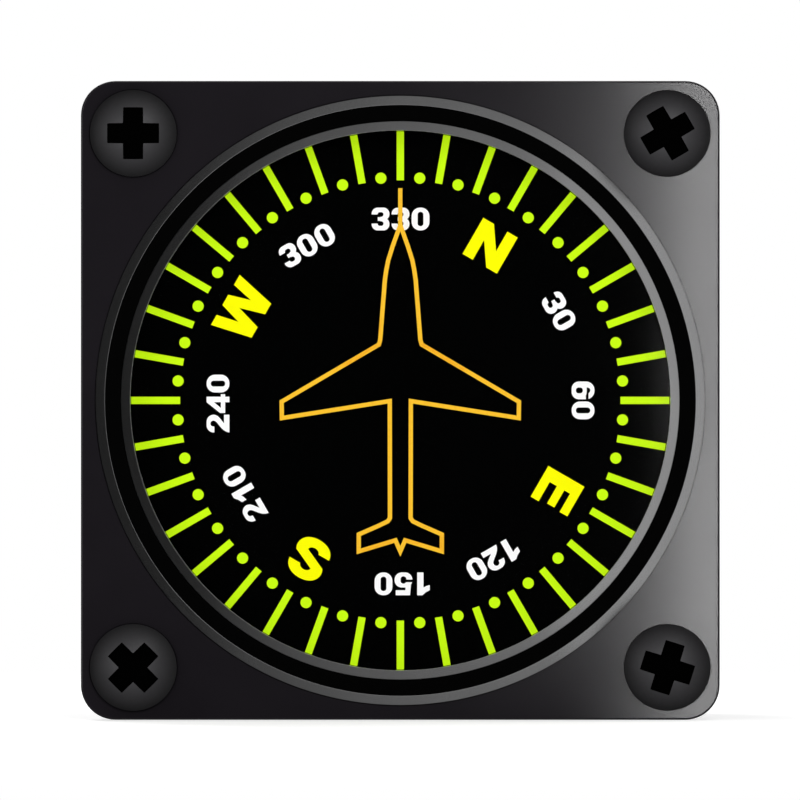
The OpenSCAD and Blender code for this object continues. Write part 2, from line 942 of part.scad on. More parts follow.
module bearing_sleeve() {
    color("#c9a85a")
        difference() {
            union() {
                rod_y(sleeve_r, sleeve_front_y, sleeve_back_y);
                rod_y(sleeve_flange_r, plate_back_y, plate_back_y + sleeve_flange_t);
            }
            rod_y(card_shaft_r + sleeve_bore_gap, sleeve_front_y - cut, sleeve_back_y + cut);
            rod_y(card_jewel_r + seat_gap, sleeve_front_y - cut, sleeve_front_y + jewel_t);
            rod_y(card_jewel_r + seat_gap, sleeve_back_y - jewel_t, sleeve_back_y + cut);
        }
}

module card_jewels() {
    color("#c43a52")
        for (y = [sleeve_front_y, sleeve_back_y - jewel_t])
            ring_y(card_jewel_r, card_shaft_r + run_gap, y, y + jewel_t);
}

module at_yoke_screws() {
    for (x = [-1, 1], z = [upper_arm_z + yoke_t, floor_base_z])
        translate([x * foot_screw_x, 0, z + yoke_foot_h / 2])
            children();
}

// Countersunk screw along -Y to +Y, with its head flush at y = 0
module countersunk(head_r, r, length) {
    rotate([-90, 0, 0])
        rotate_extrude()
            polygon([[0, 0], [head_r, 0], [r, head_r - r], [r, length], [0, length]]);
}

module movement_plate() {
    color("#9aa0a6")
        difference() {
            rod_y(plate_r, plate_front_y, plate_back_y);
            rod_y(sleeve_r + seat_gap, plate_front_y - cut, plate_back_y + cut);
            around_dial(plate_screw_angles, plate_screw_pcr)
                rod_y(small_screw_r + drop_gap, plate_front_y - cut, plate_back_y + cut);
            at_yoke_screws()
                translate([0, plate_front_y, 0])
                    countersunk(
                        foot_screw_head_r + seat_gap, small_screw_r + seat_gap, plate_t + cut
                    );
        }
}

// Slotted screw with a round head on y = 0, its shank towards -Y
module slotted_screw(head_r, head_h, r, length, slot, depth) {
    difference() {
        rod_y(head_r, 0, head_h);
        translate([-head_r - cut, head_h - depth, -slot / 2])
            cube([2 * (head_r + cut), depth + cut, slot]);
    }
    rod_y(r, -length, 0);
}

module plate_screws() {
    color("#c4c7cb")
        around_dial(plate_screw_angles, plate_screw_pcr)
            translate([0, plate_back_y, 0])
                slotted_screw(
                    small_head_r, small_head_h, small_screw_r, plate_t + plate_screw_len,
                    slot_w, slot_depth
                );
}

// Magnet frame

module magnet_yoke() {
    side = yoke_w / 2;
    top_z = upper_arm_z + yoke_t;
    color("#a8adb3")
        difference() {
            union() {
                block([-side, plate_back_y, upper_arm_z], [side, web_back_y, top_z]);
                block([-side, plate_back_y, lower_arm_z], [side, web_back_y, floor_base_z]);
                block([-side, web_front_y, lower_arm_z], [side, web_back_y, top_z]);
                for (z = [[upper_arm_z, top_z], [lower_arm_z, floor_base_z]])
                    block([-side, plate_back_y, z[0]], [side, foot_back_y, z[1] + yoke_foot_h]);
            }
            translate([0, rotor_y, 0])
                rod_z(jewel_screw_r + seat_gap, lower_arm_z - cut, top_z + cut);
            for (x = [-cup_screw_x, cup_screw_x])
                translate([x, rotor_y, 0])
                    rod_z(
                        bracket_screw_r + drop_gap, lower_arm_z - cut, floor_base_z + cut
                    );
            at_yoke_screws()
                rod_y(small_screw_r + seat_gap, plate_back_y - cut, foot_back_y + cut);
        }
}

module yoke_screws() {
    color("#c4c7cb")
        at_yoke_screws()
            translate([0, plate_front_y, 0])
                countersunk(foot_screw_head_r, small_screw_r, foot_back_y - plate_front_y);
}

module damping_cup() {
    inner_r = cup_r - cup_wall;
    hole_r = jewel_screw_r + floor_hole_gap;
    color("#b87343")
        translate([0, rotor_y, 0])
            difference() {
                rotate_extrude()
                    polygon([
                        [hole_r, floor_base_z], [cup_r, floor_base_z], [cup_r, cup_top_z],
                        [inner_r, cup_top_z], [inner_r, floor_top_z], [hole_r, floor_top_z]
                    ]);
                for (x = [-cup_screw_x, cup_screw_x])
                    translate([x, 0, 0])
                        rod_z(
                            bracket_screw_r + seat_gap, floor_base_z - cut,
                            floor_base_z + cup_screw_grip + end_gap
                        );
            }
}

module cup_screws() {
    color("#c4c7cb")
        for (x = [-cup_screw_x, cup_screw_x])
            translate([x, rotor_y, lower_arm_z])
                rotate([-90, 0, 0])
                    slotted_screw(
                        bracket_head_r, bracket_head_h, bracket_screw_r,
                        yoke_t + cup_screw_grip, slot_w, slot_depth
                    );
}

// Jewel screw on the vertical shaft, tip at z = 0 with the jewel's seat, head towards -Z
module jewel_screw(length) {
    difference() {
        rod_z(jewel_screw_r, -length, 0);
        rod_z(jewel_r + seat_gap, -cup_jewel_t, cut);
        translate([-jewel_screw_r - cut, -slot_w / 2, -length - cut])
            cube([2 * (jewel_screw_r + cut), slot_w, slot_depth + cut]);
    }
}

module jewel_screws() {
    color("#c9a85a")
        translate([0, rotor_y, 0]) {
            translate([0, 0, lower_tip_z])
                jewel_screw(lower_screw_len);
            translate([0, 0, upper_tip_z])
                rotate([180, 0, 0])
                    jewel_screw(upper_screw_len);
        }
}

// Jewel with a blind hole in its top for the pivot, the top at z = 0
module pivot_jewel() {
    difference() {
        rod_z(jewel_r, -cup_jewel_t, 0);
        rod_z(pivot_r + pivot_gap, -pivot_len + end_gap - pivot_end, cut);
    }
}

module pivot_jewels() {
    color("#c43a52")
        translate([0, rotor_y, 0]) {
            translate([0, 0, lower_tip_z])
                pivot_jewel();
            translate([0, 0, upper_tip_z])
                rotate([180, 0, 0])
                    pivot_jewel();
        }
}

module hex_nut(r, bore_r, t) {
    difference() {
        cylinder(r = r, h = t, $fn = 6);
        rod_z(bore_r, -cut, t + cut);
    }
}

module jewel_locknuts() {
    color("#c4c7cb")
        for (z = [lower_arm_z - locknut_t, upper_arm_z + yoke_t])
            translate([0, rotor_y, z])
                hex_nut(locknut_r, jewel_screw_r + seat_gap, locknut_t);
}

// Magnet and its vertical shaft

module rotor_shaft() {
    color("#c4c7cb")
        translate([0, rotor_y, 0]) {
            rod_z(rotor_shaft_r, lower_shoulder_z, upper_shoulder_z);
            rod_z(pivot_r, lower_shoulder_z - pivot_len, upper_shoulder_z + pivot_len);
        }
}

module rotor_gear() {
    color("#c9a85a")
        translate([0, rotor_y, -card_gear_pitch_r])
            difference() {
                union() {
                    miter_gear(
                        card_gear_teeth, card_gear_pitch_r, card_gear_face,
                        90 + 180 / card_gear_teeth
                    );
                    rod_z(gear_hub_r, -gear_hub_len, 0);
                }
                rod_z(rotor_shaft_r + seat_gap, -gear_hub_len - cut, card_gear_face + cut);
            }
}

module magnet_hub() {
    color("#a8adb3")
        translate([0, rotor_y, 0])
            difference() {
                union() {
                    rod_z(magnet_hub_r, nut_base_z, magnet_top_z);
                    rod_z(magnet_flange_r, magnet_top_z, magnet_top_z + magnet_flange_t);
                }
                rod_z(
                    rotor_shaft_r + seat_gap, nut_base_z - cut,
                    magnet_top_z + magnet_flange_t + cut
                );
            }
}

module rotor_magnet() {
    color("#4a4c50")
        translate([0, rotor_y, 0])
            difference() {
                rod_z(magnet_r, magnet_base_z, magnet_top_z);
                rod_z(magnet_hub_r + seat_gap, magnet_base_z - cut, magnet_top_z + cut);
            }
}

module magnet_nut() {
    color("#c4c7cb")
        translate([0, rotor_y, nut_base_z])
            hex_nut(nut_r, magnet_hub_r + seat_gap, nut_t);
}

// Case

module at_back_screws() {
    around_dial(boss_angles, -boss_pcr)
        children();
}

module tube_screw_path(gap) {
    around_dial(tube_screw_angles, case_r - tube_screw_flush)
        translate([0, tube_screw_y, 0])
            rotate([0, 0, 90])
                countersunk(
                    tube_screw_head_r + gap, small_screw_r + gap,
                    case_wall + tube_screw_reach
                );
}

module case_tube() {
    color("#232326")
        difference() {
            union() {
                ring_y(case_r, case_inner_r, -tube_seat, case_len);
                at_back_screws()
                    rod_y(boss_r, case_len - boss_len, case_len);
            }
            at_back_screws()
                rod_y(
                    back_screw_r + seat_gap, case_len - back_screw_len - tap_spare,
                    case_len + cut
                );
            tube_screw_path(seat_gap);
            around_dial(tube_screw_angles, case_r - tube_screw_flush)
                translate([0, tube_screw_y, 0])
                    rod_x(tube_screw_head_r + seat_gap, 0, cut);
        }
}

module tube_screws() {
    color("#3a3a3d")
        tube_screw_path(0);
}

module tube_o_ring() {
    cord_r = (case_inner_r - spigot_r + ring_groove_depth) / 2 - ring_cord_gap;
    color("#151515")
        translate([0, ring_groove_front + ring_groove_w / 2, 0])
            rotate([90, 0, 0])
                rotate_extrude()
                    translate([spigot_r - ring_groove_depth + ring_cord_gap + cord_r, 0])
                        circle(cord_r);
}

module at_adjusters() {
    for (x = [-adjuster_x, adjuster_x])
        translate([x, 0, adjuster_z])
            children();
}

module at_bracket_screws() {
    for (x = [-1, 1], z = [-bracket_screw_z, bracket_screw_z])
        translate([
            x * (bracket_leg_x + bracket_t + bracket_foot_w / 2), 0, adjuster_z + z
        ])
            children();
}

module back_cover() {
    color("#232326")
        difference() {
            rotate([-90, 0, 0])
                rotate_extrude()
                    polygon([
                        [0, cover_front_y], [case_r, cover_front_y],
                        [case_r, cover_back_y - cover_edge],
                        [case_r - cover_edge, cover_back_y], [0, cover_back_y]
                    ]);
            at_back_screws()
                rod_y(back_screw_r + hole_gap, cover_front_y - cut, cover_back_y + cut);
            at_adjusters()
                rod_y(bush_r + seat_gap, cover_front_y - cut, cover_back_y + cut);
            at_bracket_screws()
                rod_y(
                    bracket_screw_r + seat_gap, cover_front_y - cut,
                    cover_front_y + bracket_screw_grip + end_gap
                );
        }
}

module back_gasket() {
    color("#151515")
        difference() {
            union() {
                ring_y(case_r, case_inner_r, case_len, cover_front_y);
                at_back_screws()
                    rod_y(boss_r, case_len, cover_front_y);
            }
            at_back_screws()
                rod_y(back_screw_r + hole_gap, case_len - cut, cover_front_y + cut);
        }
}

module back_screws() {
    color("#c4c7cb")
        at_back_screws()
            translate([0, cover_back_y, 0])
                slotted_screw(
                    back_head_r, back_head_h, back_screw_r,
                    cover_t + gasket_t + back_screw_len, back_slot_w, back_slot_depth
                );
}

// Compensator

module compensator_bracket() {
    leg_out = bracket_leg_x + bracket_t;
    foot_out = leg_out + bracket_foot_w;
    low = adjuster_z - bracket_h / 2;
    high = adjuster_z + bracket_h / 2;
    color("#c9a85a")
        difference() {
            union() {
                block([-leg_out, bracket_front_y, low], [leg_out, bracket_back_y, high]);
                for (x = [-leg_out, bracket_leg_x])
                    block([x, bracket_front_y, low], [x + bracket_t, cover_front_y, high]);
                for (x = [-foot_out, bracket_leg_x])
                    block(
                        [x, cover_front_y - bracket_t, low],
                        [x + bracket_t + bracket_foot_w, cover_front_y, high]
                    );
                for (x = [left_ear_x, right_ear_x])
                    block(
                        [x, bracket_front_y, adjuster_z - ear_w / 2],
                        [x + ear_t, trim_y + ear_lap, adjuster_z + ear_w / 2]
                    );
            }
            at_adjusters()
                rod_y(journal_r + run_gap, bracket_front_y - cut, bracket_back_y + cut);
            translate([0, trim_y, adjuster_z])
                rod_x(cross_r + run_gap, left_ear_x - cut, right_ear_x + ear_t + cut);
            at_bracket_screws()
                rod_y(
                    bracket_screw_r + drop_gap, cover_front_y - bracket_t - cut,
                    cover_front_y + cut
                );
        }
}

module bracket_screws() {
    color("#c4c7cb")
        at_bracket_screws()
            translate([0, cover_front_y - bracket_t, 0])
                rotate([180, 0, 0])
                    slotted_screw(
                        bracket_head_r, bracket_head_h, bracket_screw_r,
                        bracket_t + bracket_screw_grip, slot_w, slot_depth
                    );
}

module adjuster_bushes() {
    seat_r = adjuster_r + run_gap + adjuster_seal_wall;
    color("#c9a85a")
        at_adjusters()
            difference() {
                union() {
                    rod_y(bush_r, bush_front_y, bush_back_y);
                    rod_y(bush_flange_r, cover_back_y, bush_back_y);
                }
                rod_y(adjuster_r + run_gap, bush_front_y - cut, bush_back_y + cut);
                rod_y(
                    seat_r + seat_gap, bush_front_y - cut,
                    bush_front_y + seal_inset + adjuster_seal_t
                );
            }
}

module adjuster_seals() {
    y = bush_front_y + seal_inset;
    color("#151515")
        at_adjusters()
            ring_y(
                adjuster_r + run_gap + adjuster_seal_wall, adjuster_r + run_gap,
                y, y + adjuster_seal_t
            );
}

// Slotted outer end of an adjuster, from its journal to the outside of the bush
module adjuster_stem(shoulder_y) {
    difference() {
        union() {
            rod_y(journal_r, bracket_front_y - journal_lead, adjuster_end_y);
            rod_y(adjuster_r, shoulder_y, adjuster_end_y);
        }
        translate([-adjuster_r - cut, adjuster_end_y - slot_depth, -slot_w / 2])
            cube([2 * (adjuster_r + cut), slot_depth + cut, slot_w]);
    }
}

module clip(r, y0, y1) {
    ring_y(r + clip_wall, r + seat_gap, y0, y1);
}

module ns_spindle() {
    color("#c9a85a")
        translate([-adjuster_x, 0, adjuster_z])
            difference() {
                union() {
                    adjuster_stem(bracket_back_y + end_gap);
                    rod_y(carrier_r, trim_y - carrier_len / 2, trim_y + carrier_len / 2);
                }
                translate([0, trim_y, 0])
                    rod_z(trim_magnet_r + seat_gap, -carrier_r - cut, carrier_r + cut);
            }
}

module ns_magnet() {
    color("#6d7075")
        translate([-adjuster_x, trim_y, adjuster_z])
            rod_z(trim_magnet_r, -trim_magnet_len / 2, trim_magnet_len / 2);
}

module ns_clip() {
    color("#c4c7cb")
        translate([-adjuster_x, 0, adjuster_z])
            clip(adjuster_r, bush_front_y - clip_gap - clip_t, bush_front_y - clip_gap);
}

module ew_adjuster() {
    color("#c9a85a")
        translate([adjuster_x, 0, adjuster_z])
            adjuster_stem(drive_hub_y);
}

module ew_drive_gear() {
    color("#c9a85a")
        translate([adjuster_x, drive_gear_y, adjuster_z])
            rotate([90, 0, 0])
                difference() {
                    union() {
                        miter_gear(trim_gear_teeth, trim_gear_pitch_r, trim_gear_face, 0);
                        rod_z(trim_hub_r, -trim_hub_len, 0);
                    }
                    rod_z(journal_r + seat_gap, -trim_hub_len - cut, trim_gear_face + cut);
                }
}

module ew_clips() {
    color("#c4c7cb")
        translate([adjuster_x, 0, adjuster_z]) {
            clip(adjuster_r, bush_front_y - clip_gap - clip_t, bush_front_y - clip_gap);
            clip(journal_r, bracket_back_y + end_gap, bracket_back_y + end_gap + clip_t);
        }
}

module ew_cross_spindle() {
    color("#c4c7cb")
        translate([0, trim_y, adjuster_z])
            difference() {
                union() {
                    rod_x(cross_r, cross_end_x0, cross_gear_x + trim_gear_face);
                    rod_x(carrier_r, carrier_x0, carrier_x1);
                }
                translate([trim_cross_x, 0, 0])
                    rod_z(trim_magnet_r + seat_gap, -carrier_r - cut, carrier_r + cut);
            }
}

module ew_cross_gear() {
    color("#c9a85a")
        translate([cross_gear_x, trim_y, adjuster_z])
            rotate([0, 90, 0])
                difference() {
                    union() {
                        miter_gear(
                            trim_gear_teeth, trim_gear_pitch_r, trim_gear_face,
                            90 + 180 / trim_gear_teeth
                        );
                        rod_z(trim_hub_r, -trim_hub_len, 0);
                    }
                    rod_z(cross_r + seat_gap, -trim_hub_len - cut, trim_gear_face + cut);
                }
}

module ew_magnet() {
    color("#6d7075")
        translate([trim_cross_x, trim_y, adjuster_z])
            rod_z(trim_magnet_r, -trim_magnet_len / 2, trim_magnet_len / 2);
}

bezel_plate();
clamp_ring();
ring_inlay();
glass_seal();
front_glass();
airplane_symbol();
panel_screws();
case_tube();
tube_screws();
tube_o_ring();
back_cover();
back_gasket();
back_screws();
movement_plate();
plate_screws();
bearing_sleeve();
card_jewels();
magnet_yoke();
yoke_screws();
damping_cup();
cup_screws();
jewel_screws();
pivot_jewels();
jewel_locknuts();
compensator_bracket();
bracket_screws();
adjuster_bushes();
adjuster_seals();
rotor_shaft();
rotor_gear();
rotor_magnet();
magnet_hub();
magnet_nut();
compass_card();
degree_bars();
degree_dots();
card_numerals();
cardinal_letters();
card_hub();
card_shaft();
card_gear();
ns_spindle();
ns_magnet();
ns_clip();
ew_adjuster();
ew_drive_gear();
ew_clips();
ew_cross_spindle();
ew_cross_gear();
ew_magnet();
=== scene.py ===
import json
import math

import bmesh
import bpy
from mathutils import Matrix, Vector


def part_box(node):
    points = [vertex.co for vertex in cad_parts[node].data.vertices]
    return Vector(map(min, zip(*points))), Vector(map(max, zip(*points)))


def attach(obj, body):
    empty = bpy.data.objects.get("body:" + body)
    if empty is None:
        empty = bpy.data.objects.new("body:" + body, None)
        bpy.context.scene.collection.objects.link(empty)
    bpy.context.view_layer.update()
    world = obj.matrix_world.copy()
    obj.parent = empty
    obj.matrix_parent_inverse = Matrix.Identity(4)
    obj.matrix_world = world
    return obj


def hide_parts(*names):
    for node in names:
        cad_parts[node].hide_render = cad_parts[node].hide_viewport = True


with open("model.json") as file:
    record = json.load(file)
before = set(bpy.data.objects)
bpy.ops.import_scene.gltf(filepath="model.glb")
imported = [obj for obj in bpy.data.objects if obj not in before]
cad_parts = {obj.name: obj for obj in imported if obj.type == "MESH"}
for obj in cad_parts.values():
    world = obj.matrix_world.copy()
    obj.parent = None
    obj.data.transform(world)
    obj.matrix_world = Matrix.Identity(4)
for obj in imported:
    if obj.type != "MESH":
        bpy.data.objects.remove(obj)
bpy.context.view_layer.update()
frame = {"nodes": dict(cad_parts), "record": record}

bl_info = {
    "name": "Vertical Card Compass",
    "version": (1, 0, 0),
    "blender": (4, 5, 0),
    "location": "View3D > Sidebar > Compass",
    "description": "Dresses a panel-mounted vertical card compass for a photograph of its dial",
    "category": "Object",
}

MM = 0.001
TURN = 2 * math.pi
SAME = 1e-7  # points nearer than this are one point
FLAT = 1e-6  # heights nearer than this are one height
PAST = 1 * MM  # a cutter stands this far past what it cuts
SMOOTH_ANGLE = math.radians(32)  # edges flatter than this are shaded smooth
WAVE_GAP = 0.314  # a Wave texture's rings are this far apart at scale 1
SHADED_RECESS = 1  # the index of a piece's second material, the painted shade in its recesses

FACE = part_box("bezel_plate")[0].y
FLANGE_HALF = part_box("bezel_plate")[1].x
RING_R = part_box("clamp_ring")[1].x
RING_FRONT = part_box("clamp_ring")[0].y
GLASS_LOW, GLASS_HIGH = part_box("front_glass")
CASE_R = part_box("case_tube")[1].x
CASE_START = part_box("case_tube")[0].y
CASE_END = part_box("case_tube")[1].y
COVER_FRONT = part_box("back_cover")[0].y
COVER_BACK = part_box("back_cover")[1].y
SPIGOT_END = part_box("movement_plate")[0].y
SPIGOT_R = CASE_R - 1.6 * MM
SCREW_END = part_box("panel_screws")[1].y
HEAD_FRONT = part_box("panel_screws")[0].y
HEAD_R = 5.6 * MM
SCREW_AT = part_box("panel_screws")[1].x - HEAD_R
SMALL_SCREW_R = 1.02 * MM
BUSH_LOW, BUSH_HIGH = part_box("adjuster_bushes")
BUSH_R = 4 * MM
ADJUSTER_X = BUSH_HIGH.x - BUSH_R
ADJUSTER_Z = (BUSH_LOW.z + BUSH_HIGH.z) / 2

# Places about the dial axis, in degrees
BOSSES = (45, 135, 225, 315)
BARREL_SCREWS = (90, 210, 330)
PLATE_SCREWS = (30, 150, 270)
BOSS_INSET = 2.8 * MM  # from the barrel's inside to a boss's middle


# Sizes and colours that a user would change

def length(name, description, default):
    return bpy.props.FloatProperty(
        name=name, description=description, default=default, min=0, precision=5,
        unit="LENGTH", subtype="DISTANCE",
    )


def colour(name, description, default):
    return bpy.props.FloatVectorProperty(
        name=name, description=description, default=default, min=0, max=1,
        size=3, subtype="COLOR",
    )


class CompassSizes(bpy.types.PropertyGroup):
    """Sizes of the pieces, as measured on the photograph's face where it shows them"""
    corner: length("Flange corner", "Radius of the flange's corners", 4.45 * MM)
    flange_edge: length("Flange edge", "Rounding of the flange's front edge", 0.25 * MM)
    fine_edge: length("Fine edge", "Rounding of small machined edges", 0.12 * MM)
    dial: length("Dial", "Radius of the dial inside the clamp ring", 34.86 * MM)
    groove_in: length("Groove, inner", "Inner radius of the dark band", 36.09 * MM)
    groove_out: length("Groove, outer", "Outer radius of the dark band", 38.16 * MM)
    head: length("Screw head", "Radius of a panel screw's head", HEAD_R)
    head_rim: length("Screw head rim", "Height of a panel screw's head at its rim", 0.8 * MM)
    recess_span: length("Recess span", "Span of the cross recess", 6.69 * MM)
    recess_arm: length("Recess arm", "Width of one arm of the cross recess", 2.56 * MM)
    recess_depth: length("Recess depth", "Depth of the cross recess", 1.3 * MM)
    wall: length("Wall", "Wall of the barrel", 1.5 * MM)
    thread: length("Thread", "Outer radius of a panel screw's thread", 2.4 * MM)
    neck: length("Neck", "Radius of a panel screw inside the flange", 2 * MM)
    pitch: length("Pitch", "Rise of the thread in one turn", 0.8 * MM)


class CompassColours(bpy.types.PropertyGroup):
    """Colours of the finishes"""
    bezel: colour("Flange", "Satin black paint of the flange", (0.0108, 0.0094, 0.0116))
    ring: colour("Clamp ring", "Dark anodising of the clamp ring", (0.25, 0.25, 0.252))
    band: colour("Band", "Black inlay between the clamp ring's lands", (0.0012, 0.0012, 0.0012))
    card: colour("Card", "Matt black paint of the card", (0.0004, 0.0004, 0.0004))
    lime: colour("Lime marks", "Bars and dots on the card", (0.61, 1, 0.006))
    numeral: colour("Numerals", "Paint of the numerals", (1, 1, 1))
    letter: colour("Letters", "Paint of the cardinal letters", (1, 1, 0))
    symbol: colour("Airplane", "Ink of the airplane symbol", (0.913, 0.515, 0.028))
    barrel: colour("Barrel", "Textured black paint of the barrel", (0.011, 0.011, 0.0115))
    brass: colour("Brass", "Turned brass", (0.62, 0.41, 0.13))
    steel: colour("Steel", "Turned steel", (0.55, 0.56, 0.58))
    aluminium: colour("Aluminium", "Machined aluminium", (0.6, 0.61, 0.63))
    copper: colour("Copper", "Turned copper", (0.6, 0.27, 0.12))


# Modelling helpers

def alone(*objects):
    """Select these objects and nothing else, the last one active."""
    for other in bpy.context.selected_objects:
        other.select_set(False)
    for obj in objects:
        obj.select_set(True)
        bpy.context.view_layer.objects.active = obj


def primitive(kind, name, place=(0, 0, 0), size=None, turn=(0, 0, 0), **settings):
    """Add a primitive, with its place, size and turn in its mesh."""
    alone()
    getattr(bpy.ops.mesh, f"primitive_{kind}_add")(location=place, rotation=turn, **settings)
    obj = bpy.context.object
    obj.name = obj.data.name = name
    if size:
        obj.scale = size
    bpy.ops.object.transform_apply(location=True, rotation=True, scale=True)
    return obj


def edit(obj, kind, test, *steps):
    """Select the vertices, edges or faces that pass the test, then run the steps on them."""
    alone(obj)
    bpy.ops.object.mode_set(mode="EDIT")
    bpy.ops.mesh.select_mode(type=kind)
    bpy.ops.mesh.select_all(action="DESELECT")
    mesh = bmesh.from_edit_mesh(obj.data)
    mesh.normal_update()
    for item in {"VERT": mesh.verts, "EDGE": mesh.edges, "FACE": mesh.faces}[kind]:
        if test(item):
            item.select_set(True)
    mesh.select_flush_mode()
    bmesh.update_edit_mesh(obj.data)
    for step in steps:
        step()
    bpy.ops.object.mode_set(mode="OBJECT")


def everything(_):
    return True


def both_ends(test):
    """A test that an edge passes where both its ends do."""
    return lambda edge: all(test(v.co) for v in edge.verts)


def select_all():
    bpy.ops.mesh.select_all(action="SELECT")


def outwards():
    bpy.ops.mesh.normals_make_consistent(inside=False)


def cleaned(merge, sliver):
    """A step that merges near points, and removes slivers and loose edges."""
    def step():
        bpy.ops.mesh.remove_doubles(threshold=merge)
        bpy.ops.mesh.dissolve_degenerate(threshold=sliver)
        bpy.ops.mesh.delete_loose(use_verts=True, use_edges=True, use_faces=False)
    return step


def closed(obj):
    """Fill the holes in a mesh and turn its faces outwards."""
    edit(
        obj, "EDGE", lambda edge: edge.is_boundary,
        lambda: bpy.ops.mesh.fill_holes(sides=0), select_all, outwards,
    )


def modifier(obj, kind, **settings):
    """Add a modifier and apply it."""
    alone(obj)
    added = obj.modifiers.new(kind.title(), kind)
    for name, value in settings.items():
        setattr(added, name, value)
    bpy.ops.object.modifier_apply(modifier=added.name)


def joined(obj, tool, operation="DIFFERENCE"):
    """Cut the tool out of the object, or add it, and remove the tool."""
    modifier(obj, "BOOLEAN", operation=operation, object=tool, solver="EXACT")
    bpy.data.objects.remove(tool)


def wire(name, points):
    """A closed loop of edges through the points."""
    obj = primitive("circle", name, vertices=len(points), fill_type="NOTHING")
    for vertex, point in zip(obj.data.vertices, points):
        vertex.co = point
    return obj


def turned(name, outline, steps=128, axis=(0, 1, 0), centre=(0, 0, 0)):
    """A closed turned piece. The outline's points are radius and place along the axis."""
    axis, centre = Vector(axis), Vector(centre)
    out = axis.orthogonal().normalized()
    obj = wire(name, [centre + out * r + axis * along for r, along in outline])
    edit(
        obj, "VERT", everything,
        lambda: bpy.ops.mesh.spin(steps=steps, angle=TURN, center=centre, axis=axis),
        select_all, cleaned(SAME, SAME), select_all, outwards,
    )
    return obj


def plain_ring(inner, outer, start, end):
    """The outline of a plain ring, or of a disc where the inner radius is 0."""
    return [(inner, start), (outer, start), (outer, end), (inner, end)]


def drilled(obj, r, start, end, steps, centre):
    """Drill a round hole along the dial axis."""
    joined(obj, turned("drill", plain_ring(0, r, start, end), steps, centre=centre))


def around(degrees, r):
    """A point on a circle about the dial axis, as the CAD model counts its angles."""
    turn = math.radians(degrees)
    return Vector((r * math.cos(turn), 0, -r * math.sin(turn)))


def soft_corners(points, size, steps=3):
    """The outline with each corner rounded, apart from those on the axis."""
    most = 0.45  # the share of an edge that one rounding may take
    rounded = []
    for i, corner in enumerate(points):
        here = Vector(corner)
        before, after = Vector(points[i - 1]), Vector(points[(i + 1) % len(points)])
        if here.x < SAME:
            rounded.append(corner)
            continue
        reach = min(size, (before - here).length * most, (after - here).length * most)
        start = here + (before - here).normalized() * reach
        end = here + (after - here).normalized() * reach
        for step in range(steps + 1):
            t = step / steps
            rounded.append(tuple(start * (1 - t) ** 2 + here * 2 * t * (1 - t) + end * t ** 2))
    return rounded


def copy_of(obj, name, matrix):
    """A copy with its own mesh, moved in the mesh."""
    other = obj.copy()
    other.data = obj.data.copy()
    other.name = other.data.name = name
    other.data.transform(matrix)
    bpy.context.scene.collection.objects.link(other)
    return other


def joined_up(name, *objects):
    """Several objects as one."""
    alone(*objects)
    bpy.ops.object.join()
    obj = bpy.context.object
    obj.name = obj.data.name = name
    return obj


def paint(obj, *materials):
    """Give the object these materials. Its faces keep their numbers."""
    kept = [face.material_index for face in obj.data.polygons]
    obj.data.materials.clear()
    for material in materials:
        obj.data.materials.append(material)
    for face, index in zip(obj.data.polygons, kept):
        face.material_index = min(index, len(materials) - 1)


def ready(obj, body, materials, replaces=()):
    """Close, shade, paint and place a finished piece on its body."""
    edit(obj, "VERT", everything, cleaned(merge=2e-6, sliver=1e-6))
    closed(obj)
    alone(obj)
    bpy.ops.object.shade_smooth_by_angle(angle=SMOOTH_ANGLE)
    modifier(obj, "WEIGHTED_NORMAL", keep_sharp=True)
    paint(obj, *materials)
    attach(obj, body)
    if replaces:
        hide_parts(*replaces)


# Materials

class Value:
    """A socket in a material. Python's operators on it add Math nodes."""

    def __init__(self, recipe, socket):
        self.recipe = recipe
        self.socket = socket

    def math(self, operation, first, second=0.0):
        return self.recipe.add(
            "ShaderNodeMath", {"operation": operation}, {"Value": first, "Value_001": second}
        )

    def __add__(self, other):
        return self.math("ADD", self, other)

    def __sub__(self, other):
        return self.math("SUBTRACT", self, other)

    def __rsub__(self, other):
        return self.math("SUBTRACT", other, self)

    def __mul__(self, other):
        return self.math("MULTIPLY", self, other)

    def __truediv__(self, other):
        return self.math("DIVIDE", self, other)

    def __rtruediv__(self, other):
        return self.math("DIVIDE", other, self)

    def __pow__(self, other):
        return self.math("POWER", self, other)

    def __abs__(self):
        return self.math("ABSOLUTE", self)

    def clamped(self):
        return self.recipe.add(
            "ShaderNodeClamp", {}, {"Value": self, "Min": 0.0, "Max": 1.0}
        )

    __radd__ = __add__
    __rmul__ = __mul__


